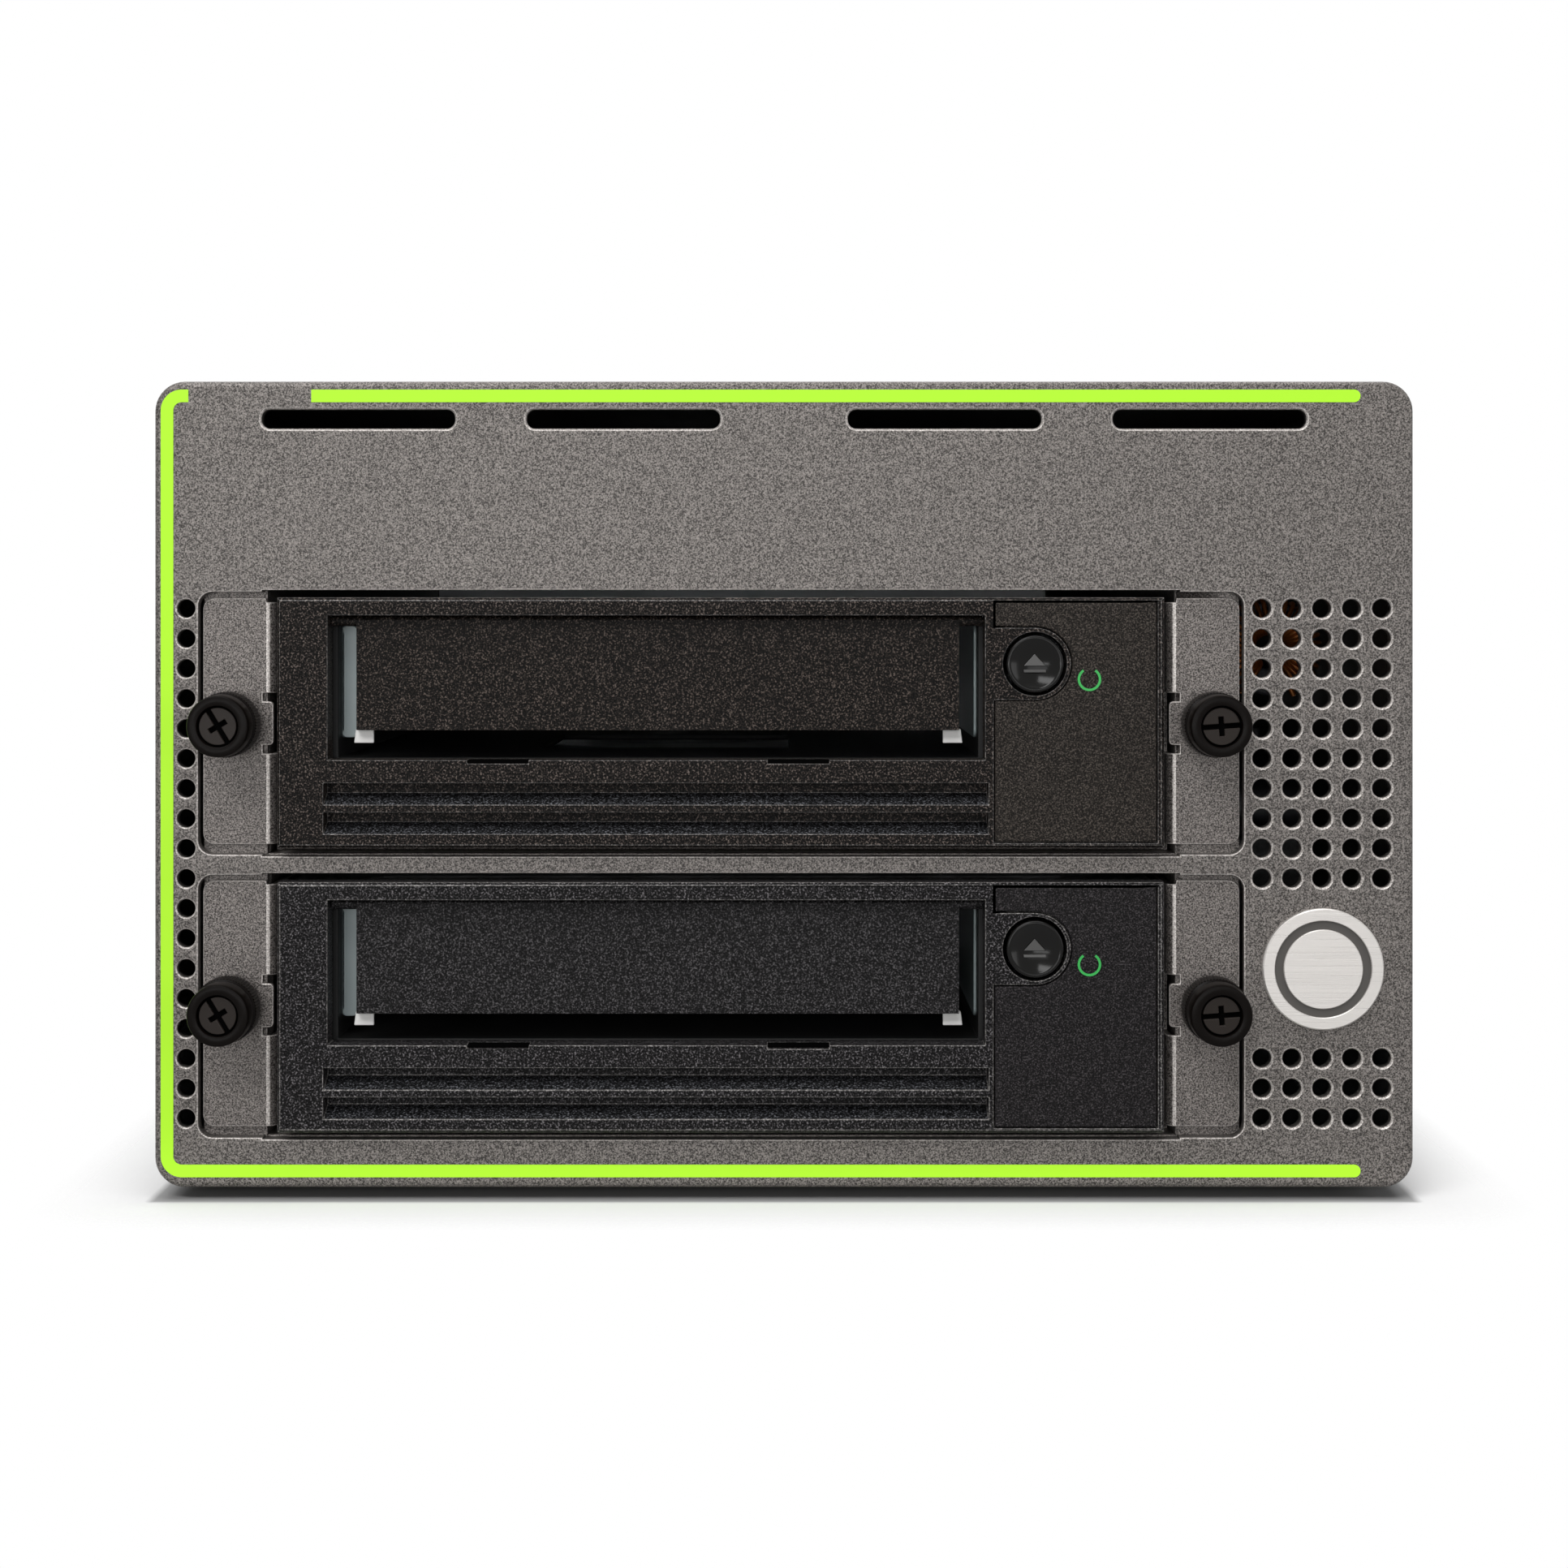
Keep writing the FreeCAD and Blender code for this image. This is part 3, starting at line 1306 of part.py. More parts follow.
def drive_lid(prefix, bay):
    body = new_body(f"{prefix}_drive_lid")
    half, margin, low = dim.drive_half_width, dim.lid_margin, drive_top - dim.lid_sheet
    pad(body, "z", low, dim.lid_sheet, rectangle(-half, bezel_back, half, drive_end))
    field = clipped(margin - half, bezel_back + margin, half - margin, drive_end - margin, dim.lid_corner)
    pad(body, "z", drive_top, dim.lid_field, field)
    return bay_node(body, f"{prefix}_drive_lid", bay)


def loader_tray(prefix, bay):
    body = new_body(f"{prefix}_loader_tray")
    gauge, low, thick = dim.tray_sheet, dim.tray_level, dim.tray_floor
    left, right = dim.tray_left, dim.tray_right
    rim = low + dim.tray_wall
    channel = outline(
        (left - gauge, low), (right + gauge, low), (right + gauge, rim), (right, rim),
        (right, low + thick), (left, low + thick), (left, rim), (left - gauge, rim),
    )
    pad(body, "y", dim.tray_front, dim.tray_length, channel)
    half = dim.tray_window / 2
    window = rectangle(tray_middle - half, spindle_y - half, tray_middle + half, spindle_y + half)
    pocket(body, "z", low, thick, window)
    return bay_node(body, f"{prefix}_loader_tray", bay)


def supply_hub(prefix, bay):
    low, body = dim.hub_height - dim.hub_nose, dim.hub_width / 2
    foot = deck_top + dim.pad_height + dim.spindle_gap
    hub = prism((tray_middle, spindle_y, foot), low, body, dim.knob_facets, "z")
    nose_width = dim.hub_nose_width / 2
    nose = prism((tray_middle, spindle_y, foot + low), dim.hub_nose, nose_width, dim.bore_facets, "z")
    return bay_node(join("Hub", hub, nose), f"{prefix}_supply_hub", bay)


def take_up_reel(prefix, bay):
    foot = (dim.reel_across, dim.reel_back, deck_top + dim.pad_height + dim.spindle_gap)
    flange = prism(foot, dim.reel_flange, dim.reel_width / 2, dim.reel_facets, "z")
    core = prism(foot, dim.reel_height, dim.reel_core_width / 2, dim.knob_facets, "z")
    return bay_node(join("Reel", flange, core), f"{prefix}_take_up_reel", bay)


def head_carriage(prefix, bay):
    across, back, low = dim.head_across, dim.head_back, dim.head_level
    half, high, inset, nose = dim.head_width / 2, low + dim.head_height, dim.head_inset, dim.head_nose
    carriage = block((across - half, back + inset, low), (across + half, back + dim.head_depth - inset, high))
    face = block((across - half / 2, back - nose, low + nose), (across + half / 2, back + inset, high - nose))
    return bay_node(join("Head", carriage, face), f"{prefix}_head_carriage", bay)


def guide_rollers(prefix, bay):
    rollers = []
    for side in (-1, 1):
        place = (dim.head_across + side * dim.roller_spread, dim.head_back + dim.roller_width / 2, deck_top)
        rollers.append(prism(place, dim.roller_height, dim.roller_width / 2, dim.drum_facets, "z"))
    return bay_node(group("Rollers", *rollers), f"{prefix}_guide_rollers", bay)


def logic_board(prefix, bay):
    low, margin = board_low(), dim.board_margin
    high = low + dim.board_sheet
    half = dim.drive_half_width - dim.drive_wall - margin
    front, back = bezel_back + margin, drive_end - dim.drive_wall - margin
    pieces = [block((-half, front, low), (half, back, high))]
    inset, post = dim.board_post_inset, dim.board_post
    for left in (inset - half, half - inset - post):
        for at in (front + inset, back - inset - post):
            pieces.append(block((left, at, high), (left + post, at + post, deck_low)))
    for k in (-1, 0, 1):
        left, at, width = dim.chip_pitch * k - dim.chip_width / 2, dim.chip_back, dim.chip_width
        pieces.append(block((left, at, high), (left + width, at + width, high + dim.chip_height)))
    reach, plug, tip = dim.plug_half_width, plug_low(), drive_end + dim.plug_reach
    pieces.append(block((-reach, back - dim.plug_root, plug), (reach, tip, plug + dim.plug_height)))
    return bay_node(join("Logic", *pieces), f"{prefix}_logic_board", bay)


# The casing and what is fixed in it
for make in (front_panel, accent_stripe, round_badge, top_cover, bottom_chassis, rubber_feet, rear_panel,
             drive_cage, clinch_nuts, docking_sockets, fan_frame, fan_rotor, mains_inlet, power_rocker,
             supply_board, supply_components, adapter_board, rear_ports):
    make()

# Both sleds hold the same drive
for bay, prefix in enumerate(("lower", "upper")):
    for make in (sled, bezel, control_plate, status_ring, eject_button, tape_door, door_glides, drive_base,
                 drive_lid, loader_tray, supply_hub, take_up_reel, head_carriage, guide_rollers, logic_board):
        make(prefix, bay)
    for side, word in ((-1, "left"), (1, "right")):
        thumbscrew(prefix, bay, side, word)
        spring_washer(prefix, bay, side, word)

doc.recompute()

for item in doc.Objects:
    if "Invalid" in item.State or "Error" in item.State:
        raise RuntimeError(f"{item.Name} ({item.Label}) failed: {item.State}")

os.makedirs("parts", exist_ok=True)
for item in nodes:
    shape = item.Shape
    if shape.isNull() or not shape.isValid() or shape.Volume <= 0:
        raise RuntimeError(f"{item.Label} has no valid solid")
    shape.exportStep(f"parts/{item.Label}.step")
    box = shape.BoundBox
    print(f"{item.Label}: {len(shape.Solids)} solid(s), {shape.Volume / 1000:.2f} cm3, "
          f"{box.XLength:.1f} x {box.YLength:.1f} x {box.ZLength:.1f} mm")
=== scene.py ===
import math

import bmesh
import bpy
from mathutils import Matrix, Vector
from mathutils.geometry import tessellate_polygon


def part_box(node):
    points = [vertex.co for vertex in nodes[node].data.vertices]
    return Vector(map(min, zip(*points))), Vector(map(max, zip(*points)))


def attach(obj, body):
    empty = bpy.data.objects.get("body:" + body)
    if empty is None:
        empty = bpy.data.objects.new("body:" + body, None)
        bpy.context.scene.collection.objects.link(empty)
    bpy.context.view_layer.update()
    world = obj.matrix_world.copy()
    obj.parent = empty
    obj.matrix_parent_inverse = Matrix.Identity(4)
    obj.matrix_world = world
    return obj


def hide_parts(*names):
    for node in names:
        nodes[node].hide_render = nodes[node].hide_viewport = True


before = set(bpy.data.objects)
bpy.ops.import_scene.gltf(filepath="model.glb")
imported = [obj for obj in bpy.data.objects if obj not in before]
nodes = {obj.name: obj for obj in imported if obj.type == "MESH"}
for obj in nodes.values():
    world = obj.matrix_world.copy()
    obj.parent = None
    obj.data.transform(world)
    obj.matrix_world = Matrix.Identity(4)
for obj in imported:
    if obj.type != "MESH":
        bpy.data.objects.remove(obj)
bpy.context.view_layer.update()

mm = 0.001
drives = ("lower", "upper")

# Places are in millimetres from the panel's front face (y) and its lower edge (z), and a bay's places
# are from the middle of its opening's lower edge.
panelLow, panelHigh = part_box("front_panel")
panel = {
    "half": 105.0, "height": 134.5, "corner": 5.0, "plate": 2.5, "return": 12.0, "wall": 1.6,
    "bayShift": 10.5, "bayBase": 8.1, "bayPitch": 47.2,
}
pi = math.pi


def panelPoint(x, y, z):
    return Vector((x * mm, panelLow.y + y * mm, panelLow.z + z * mm))


def bayPoint(bay, x, y, z):
    return panelPoint(x - panel["bayShift"], y, z + panel["bayBase"] + panel["bayPitch"] * bay)


def bayPlace(bay):
    return lambda x, y, z: bayPoint(bay, x, y, z)


# Shader groups
def addGroup(name, inputs, outputs):
    group = bpy.data.node_groups.new(name, "ShaderNodeTree")
    for label, kind, value in inputs:
        group.interface.new_socket(label, in_out="INPUT", socket_type=kind).default_value = value
    for label, kind in outputs:
        group.interface.new_socket(label, in_out="OUTPUT", socket_type=kind)
    return group, group.nodes.new("NodeGroupInput").outputs, group.nodes.new("NodeGroupOutput")


# Sets a node's inputs by name or number: a socket is linked, anything else becomes the input's value
def setInputs(tree, item, inputs):
    for key, value in inputs.items():
        if isinstance(value, bpy.types.NodeSocket):
            tree.links.new(value, item.inputs[key])
        else:
            item.inputs[key].default_value = value


def addNode(tree, kind, *ports, **settings):
    item, inputs = tree.nodes.new(kind), dict(enumerate(ports))
    for key, value in settings.items():
        if hasattr(item, key):
            setattr(item, key, value)
        else:
            inputs[key.replace("_", " ")] = value
    setInputs(tree, item, inputs)
    return item.outputs


# Moulded grain: small rounded pits that carry the light and shade of the surface with them
def makeGrainGroup():
    group, entry, leave = addGroup(
        "Moulded_grain",
        [("Colour", "NodeSocketColor", (0.02, 0.02, 0.02, 1)), ("Scale", "NodeSocketFloat", 1800.0),
         ("Depth", "NodeSocketFloat", 0.00004), ("Roughness", "NodeSocketFloat", 0.5),
         ("Contrast", "NodeSocketFloat", 1.0)],
        [("Colour", "NodeSocketColor"), ("Normal", "NodeSocketVector"), ("Roughness", "NodeSocketFloat")],
    )
    place = addNode(group, "ShaderNodeTexCoord")["Object"]
    noise = addNode(group, "ShaderNodeTexNoise", Vector=place, Scale=entry["Scale"], Detail=1.5,
                    Roughness=0.5)["Fac"]
    bump = addNode(group, "ShaderNodeBump", Strength=1.0, Distance=entry["Depth"], Height=noise)
    swing = addNode(group, "ShaderNodeMapRange", Value=noise, From_Min=0.32, From_Max=0.68, To_Min=-0.9,
                    To_Max=1.1)["Result"]
    power = addNode(group, "ShaderNodeMath", swing, entry["Contrast"], operation="MULTIPLY")
    share = addNode(group, "ShaderNodeMath", math.e, power["Value"], operation="POWER")
    shade = addNode(group, "ShaderNodeVectorMath", entry["Colour"], operation="SCALE", Scale=share["Value"])
    total = addNode(group, "ShaderNodeMath", swing, -0.08, entry["Roughness"], operation="MULTIPLY_ADD")
    setInputs(group, leave,
              {"Colour": shade["Vector"], "Normal": bump["Normal"], "Roughness": total["Value"]})
    return group


# Powder coat with metal flakes: a fine mottle, a few bright cells, and a slight orange peel
def makeFlakeGroup():
    group, entry, leave = addGroup(
        "Metal_flakes",
        [("Colour", "NodeSocketColor", (0.1, 0.1, 0.1, 1)), ("Bright", "NodeSocketColor", (0.3, 0.3, 0.3, 1)),
         ("Scale", "NodeSocketFloat", 3800.0), ("Depth", "NodeSocketFloat", 0.00002)],
        [("Colour", "NodeSocketColor"), ("Normal", "NodeSocketVector")],
    )
    place = addNode(group, "ShaderNodeTexCoord")["Object"]
    mottle = addNode(group, "ShaderNodeTexNoise", Vector=place, Scale=entry["Scale"], Detail=2.0,
                     Roughness=0.6)["Fac"]
    spread = addNode(group, "ShaderNodeMapRange", Value=mottle, From_Min=0.38, From_Max=0.70)
    cells = addNode(group, "ShaderNodeTexVoronoi", Vector=place, Scale=5200.0)
    split = addNode(group, "ShaderNodeSeparateColor", Color=cells["Color"])
    peak = addNode(group, "ShaderNodeMath", split["Red"], 9.0, operation="POWER")
    both = addNode(group, "ShaderNodeMath", peak["Value"], 0.6, spread["Result"], operation="MULTIPLY_ADD")
    mix = addNode(group, "ShaderNodeMix", data_type="RGBA", clamp_factor=True, Factor=both["Value"],
                  A=entry["Colour"], B=entry["Bright"])
    bump = addNode(group, "ShaderNodeBump", Strength=1.0, Distance=entry["Depth"], Height=mottle)
    setInputs(group, leave, {"Colour": mix["Result"], "Normal": bump["Normal"]})
    return group


# Fine parallel lines: noise drawn out along one axis
def makeBrushGroup():
    group, entry, leave = addGroup(
        "Brushed_lines",
        [("Stretch", "NodeSocketVector", (40.0, 4000.0, 4000.0)), ("Depth", "NodeSocketFloat", 0.00001),
         ("Roughness", "NodeSocketFloat", 0.3)],
        [("Normal", "NodeSocketVector"), ("Roughness", "NodeSocketFloat")],
    )
    place = addNode(group, "ShaderNodeTexCoord")["Object"]
    scaled = addNode(group, "ShaderNodeVectorMath", place, entry["Stretch"], operation="MULTIPLY")
    noise = addNode(group, "ShaderNodeTexNoise", Vector=scaled["Vector"], Scale=1.0, Detail=3.0)["Fac"]
    bump = addNode(group, "ShaderNodeBump", Strength=1.0, Distance=entry["Depth"], Height=noise)
    spread = addNode(group, "ShaderNodeMapRange", Value=noise, From_Min=0.3, From_Max=0.7, To_Min=-0.07,
                     To_Max=0.07)
    total = addNode(group, "ShaderNodeMath", spread["Result"], entry["Roughness"], operation="ADD")
    setInputs(group, leave, {"Normal": bump["Normal"], "Roughness": total["Value"]})
    return group


grainGroup, flakeGroup, brushGroup = makeGrainGroup(), makeFlakeGroup(), makeBrushGroup()


# Materials
def makeMaterial(name, colour, roughness=0.5, metallic=0.0, coat=0.0, glow=0.0, gleam=0.5):
    material = bpy.data.materials.new(name)
    material.use_nodes = True
    inputs = {"Base Color": (*colour, 1), "Roughness": roughness, "Metallic": metallic, "Coat Weight": coat,
              "Specular IOR Level": gleam}
    if glow:
        inputs.update({"Emission Color": (*colour, 1), "Emission Strength": glow})
    setInputs(material.node_tree, material.node_tree.nodes["Principled BSDF"], inputs)
    return material


def useGroup(material, group, outputs, **values):
    tree = material.node_tree
    effect = addNode(tree, "ShaderNodeGroup", node_tree=group, **values)
    setInputs(tree, tree.nodes["Principled BSDF"], {target: effect[source] for source, target in outputs})
    return material


def grained(name, colour, roughness, scale, depth, metallic=0.0, gleam=0.35, contrast=0.6):
    outputs = (("Colour", "Base Color"), ("Normal", "Normal"), ("Roughness", "Roughness"))
    return useGroup(makeMaterial(name, colour, metallic=metallic, gleam=gleam), grainGroup, outputs,
                    Colour=(*colour, 1), Scale=scale, Depth=depth, Roughness=roughness, Contrast=contrast)


def flaked(name, colour, bright, roughness, metallic):
    outputs = (("Colour", "Base Color"), ("Normal", "Normal"))
    return useGroup(makeMaterial(name, colour, roughness, metallic, gleam=0.2), flakeGroup, outputs,
                    Colour=(*colour, 1), Bright=(*bright, 1))


def brushed(name, colour, roughness, stretch, depth=0.000006, metallic=1.0):
    outputs = (("Normal", "Normal"), ("Roughness", "Roughness"))
    return useGroup(makeMaterial(name, colour, metallic=metallic), brushGroup, outputs,
                    Stretch=stretch, Depth=depth, Roughness=roughness)


panelPaint = flaked("Panel_paint", (0.030, 0.0268, 0.0249), (0.262, 0.239, 0.223), 0.40, 0.25)
earPaint = flaked("Sled_paint", (0.024, 0.0209, 0.0193), (0.282, 0.255, 0.239), 0.40, 0.25)
# A lighter paint for rounded rims and edges: a painted highlight where the edges catch the light
rimHighlightPaint = flaked("Rim_painted_highlight", (0.24, 0.22, 0.205), (0.66, 0.62, 0.59), 0.34, 0.3)
coverPaint = flaked("Cover_paint", (0.050, 0.046, 0.043), (0.14, 0.13, 0.12), 0.46, 0.3)
# The film's faint emission is painted light: the stripe glows brighter than the lamps alone make it
limeFilm = makeMaterial("Lime_film", (0.47, 0.95, 0.035), 0.45, gleam=0.2, glow=0.1)
badgeMetal = brushed("Badge_metal", (0.60, 0.575, 0.55), 0.32, (60.0, 900.0, 5000.0), 0.000016, 0.5)
badgeDark = makeMaterial("Badge_groove", (0.06, 0.055, 0.05), 0.6)


# The drives' fronts share one matte plastic; its tone and grain differ from piece to piece, but the louvers'
# lighter tone is painted light
def frontPlastic(name, colour, scale, depth, contrast):
    return grained(name, colour, 0.40, scale, depth, gleam=0.07, contrast=contrast)


bezelPlastic = {
    "upper": frontPlastic("Upper_bezel_plastic", (0.0063, 0.0051, 0.0045), 3200.0, 0.00013, 2.9),
    "lower": frontPlastic("Lower_bezel_plastic", (0.0080, 0.0075, 0.0078), 3200.0, 0.00013, 2.8),
}
controlPlastic = {
    "upper": frontPlastic("Upper_control_plastic", (0.0190, 0.0160, 0.0138), 3800.0, 0.00007, 1.5),
    "lower": frontPlastic("Lower_control_plastic", (0.0105, 0.0094, 0.0099), 3800.0, 0.00007, 1.7),
}
doorPlastic = {
    "upper": frontPlastic("Upper_door_plastic", (0.0063, 0.0050, 0.0043), 3400.0, 0.00012, 2.7),
    "lower": frontPlastic("Lower_door_plastic", (0.0110, 0.0104, 0.0108), 3400.0, 0.00010, 2.1),
}
# The louver slopes' lighter plastic is painted light on faces that catch the light from above
louverLitPlastic = frontPlastic("Louver_lit_plastic", (0.0115, 0.0117, 0.0127), 3000.0, 0.00012, 2.5)
# A lighter plastic for the bezels' bevelled edges: a painted highlight along them
edgeHighlightPlastic = grained("Edge_highlight_plastic", (0.085, 0.080, 0.077), 0.32, 3200.0, 0.00005, gleam=0.2, contrast=1.2)
# Black that stands for shade: painted shade in the bezel notches and in the thumbscrews' recesses
paintedShadeBlack = makeMaterial("Painted_shade_black", (0.002, 0.002, 0.002), 0.8, gleam=0.0)
buttonGloss = makeMaterial("Button_gloss", (0.003, 0.0027, 0.0024), 0.16, gleam=0.16)
symbolPlastic = makeMaterial("Symbol_plastic", (0.012, 0.011, 0.010), 0.3)
statusGreen = makeMaterial("Status_green", (0.010, 0.30, 0.045), 0.4, glow=0.3)
screwBlack = makeMaterial("Screw_black", (0.0040, 0.0029, 0.0024), 0.28, gleam=0.05)
screwHead = makeMaterial("Screw_head", (0.024, 0.0195, 0.0170), 0.32, gleam=0.08)
zincSteel = brushed("Zinc_steel", (0.62, 0.63, 0.64), 0.34, (140.0, 140.0, 140.0), 0.0000012)
chassisSteel = brushed("Chassis_steel", (0.52, 0.53, 0.54), 0.36, (80.0, 2500.0, 2500.0))
springSteel = makeMaterial("Spring_steel", (0.5, 0.5, 0.5), 0.25, metallic=1.0)
castDeck = grained("Cast_deck", (0.42, 0.43, 0.44), 0.46, 1800.0, 0.00004, 0.9, contrast=0.12)
# The left liner's lighter grey is painted light in the dim mouth; the right liner and the flange take the
# plainer grey
trayGreyLit = makeMaterial("Tray_grey_lit", (0.62, 0.72, 0.75), 0.35, metallic=0.1)
trayFlange = makeMaterial("Tray_flange", (0.26, 0.31, 0.315), 0.35, metallic=0.1)
# The loader tray is near black: painted shade that keeps the pocket under the door dark
trayPaintedShade = makeMaterial("Tray_painted_shade", (0.012, 0.012, 0.012), 0.5, gleam=0.2)
nylonWhite = makeMaterial("Nylon_white", (0.80, 0.79, 0.77), 0.4)
reelWhite = makeMaterial("Reel_white", (0.66, 0.67, 0.66), 0.34)
plasticBlack = grained("Plastic_black", (0.013, 0.013, 0.014), 0.45, 2200.0, 0.00002, contrast=0.3)
rubberBlack = grained("Rubber_black", (0.012, 0.012, 0.012), 0.7, 1500.0, 0.00003, contrast=0.3)
boardGreen = makeMaterial("Board_green", (0.012, 0.085, 0.03), 0.32, coat=0.2)
chipBlack = makeMaterial("Chip_black", (0.014, 0.014, 0.015), 0.4)
contactGold = makeMaterial("Contact_gold", (0.85, 0.6, 0.2), 0.25, metallic=1.0)
contactBrass = makeMaterial("Contact_brass", (0.66, 0.62, 0.50), 0.25, metallic=1.0)
copperWire = makeMaterial("Copper_wire", (0.45, 0.15, 0.035), 0.35, metallic=0.5)
tapeYellow = makeMaterial("Tape_yellow", (0.62, 0.42, 0.05), 0.4)
sleeveBlack = makeMaterial("Sleeve_black", (0.012, 0.012, 0.016), 0.3)
canSilver = makeMaterial("Can_silver", (0.7, 0.7, 0.7), 0.3, metallic=1.0)
ferriteGrey = makeMaterial("Ferrite_grey", (0.035, 0.035, 0.04), 0.5)
terminalGreen = makeMaterial("Terminal_green", (0.02, 0.22, 0.10), 0.4)
print("materials ready", len(bpy.data.materials))


# Mesh helpers
def addItem(name, data):
    item = bpy.data.objects.new(name, data)
    bpy.context.scene.collection.objects.link(item)
    return item


def addMesh(name, points, faces, material, body, smooth=True):
    mesh = bpy.data.meshes.new(name)
    mesh.from_pydata([tuple(p) for p in points], [], faces)
    mesh.validate()
    mesh.polygons.foreach_set("use_smooth", [smooth] * len(mesh.polygons))
    mesh.materials.append(material)
    item = addItem(name, mesh)
    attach(item, body)
    return item


def weighNormals(item):
    weigh = item.modifiers.new("Even_normals", "WEIGHTED_NORMAL")
    weigh.weight = 80
    weigh.keep_sharp = True


# A rim material, when given, goes on the bevel's faces: a painted highlight along the edges
def softenEdges(item, width, segments=2, angle=40, rim=None):
    bevel = item.modifiers.new("Soft_edges", "BEVEL")
    if rim:
        item.data.materials.append(rim)
        bevel.material = len(item.data.materials) - 1
    bevel.width, bevel.segments, bevel.limit_method = width * mm, segments, "ANGLE"
    bevel.angle_limit = math.radians(angle)
    bevel.use_clamp_overlap = True
    weighNormals(item)


def arcPoints(cx, cz, radius, start, end, steps):
    return [(cx + radius * math.cos(start + (end - start) * k / steps),
             cz + radius * math.sin(start + (end - start) * k / steps)) for k in range(steps + 1)]


# Outlines that can grow or shrink by a given distance
def roundedRect(lowX, lowZ, highX, highZ, radius, steps):
    def at(grow):
        r = max(radius + grow, 0.01)
        corners = ((highX + grow - r, lowZ - grow + r, -pi / 2), (highX + grow - r, highZ + grow - r, 0),
                   (lowX - grow + r, highZ + grow - r, pi / 2), (lowX - grow + r, lowZ - grow + r, pi))
        return [point for cx, cz, start in corners
                for point in arcPoints(cx, cz, r, start, start + pi / 2, steps)]
    return at


def circleLoop(cx, cz, radius, steps):
    return lambda grow: arcPoints(cx, cz, radius + grow, 0, 2 * pi, steps)[:-1]


# The faces between rings of points that follow one another, each ring with the same number of points
def ringFaces(rings, steps):
    pairs = [(ring * steps + k, ring * steps + (k + 1) % steps)
             for ring in range(rings) for k in range(steps)]
    return [(a, b, b + steps, a + steps) for a, b in pairs]


def joinRings(near, far):
    count = len(near)
    return [(near[k], near[(k + 1) % count], far[(k + 1) % count], far[k]) for k in range(count)]


# A flat shape of given thickness between two depths, seen from the front
def addPrism(name, outline, front, back, material, body, place=panelPoint):
    count = len(outline)
    points = [place(x, depth, z) for depth in (front, back) for x, z in outline]
    rings = range(count), range(count, 2 * count)
    faces = [tuple(ring) for ring in rings] + joinRings(*rings)
    item = addMesh(name, points, faces, material, body, smooth=False)
    fixNormals(item)
    return item


def fixNormals(item):
    work = bmesh.new()
    work.from_mesh(item.data)
    bmesh.ops.recalc_face_normals(work, faces=work.faces)
    work.to_mesh(item.data)
    work.free()


# A turned piece: profile of (radius, depth) from its front middle to its back, round an axis along y
def addTurned(name, profile, centre, material, body, steps=64, wave=None, closed=True):
    points, faces = [], ringFaces(len(profile) - 1, steps)
    for index, (radius, depth) in enumerate(profile):
        for k in range(steps):
            turn = 2 * pi * k / steps
            r = radius - (wave(index, k) if wave else 0)
            points.append(centre + Vector((r * math.cos(turn), depth, r * math.sin(turn))) * mm)
    if closed:
        faces.append(tuple(range(steps)))
        faces.append(tuple(range(len(points) - 1, len(points) - 1 - steps, -1)))
    item = addMesh(name, points, faces, material, body)
    fixNormals(item)
    item.data.set_sharp_from_angle(angle=math.radians(34))
    weighNormals(item)
    return item


def addBox(name, low, high, material, body, soft=0.3):
    (x0, y0, z0), (x1, y1, z1) = low, high
    points = [Vector(p) for p in ((x0, y0, z0), (x1, y0, z0), (x1, y1, z0), (x0, y1, z0),
                                  (x0, y0, z1), (x1, y0, z1), (x1, y1, z1), (x0, y1, z1))]
    faces = [(0, 3, 2, 1), (4, 5, 6, 7), (0, 1, 5, 4), (1, 2, 6, 5), (2, 3, 7, 6), (3, 0, 4, 7)]
    item = addMesh(name, points, faces, material, body)
    softenEdges(item, soft)
    return item


# Front panel
def bayLoop(bay, steps):
    shift, base = -panel["bayShift"], panel["bayBase"] + panel["bayPitch"] * bay
    ear, inner, step, high, radius = 87.2, 76.5, 0.28, 44.35, 2.4

    def at(grow):
        r = radius + grow
        left, right = shift - ear - grow, shift + ear + grow
        low, top = base + step - grow, base + high - step + grow
        near = inner + grow
        points = [(shift - near, base - grow), (shift + near, base - grow), (shift + near, low)]
        points += arcPoints(right - r, low + r, r, -pi / 2, 0, steps)
        points += arcPoints(right - r, top - r, r, 0, pi / 2, steps)
        points += [(shift + near, top), (shift + near, base + high + grow),
                   (shift - near, base + high + grow), (shift - near, top)]
        points += arcPoints(left + r, top - r, r, pi / 2, pi, steps)
        points += arcPoints(left + r, low + r, r, pi, 1.5 * pi, steps)
        points.append((shift - near, low))
        return points
    return at


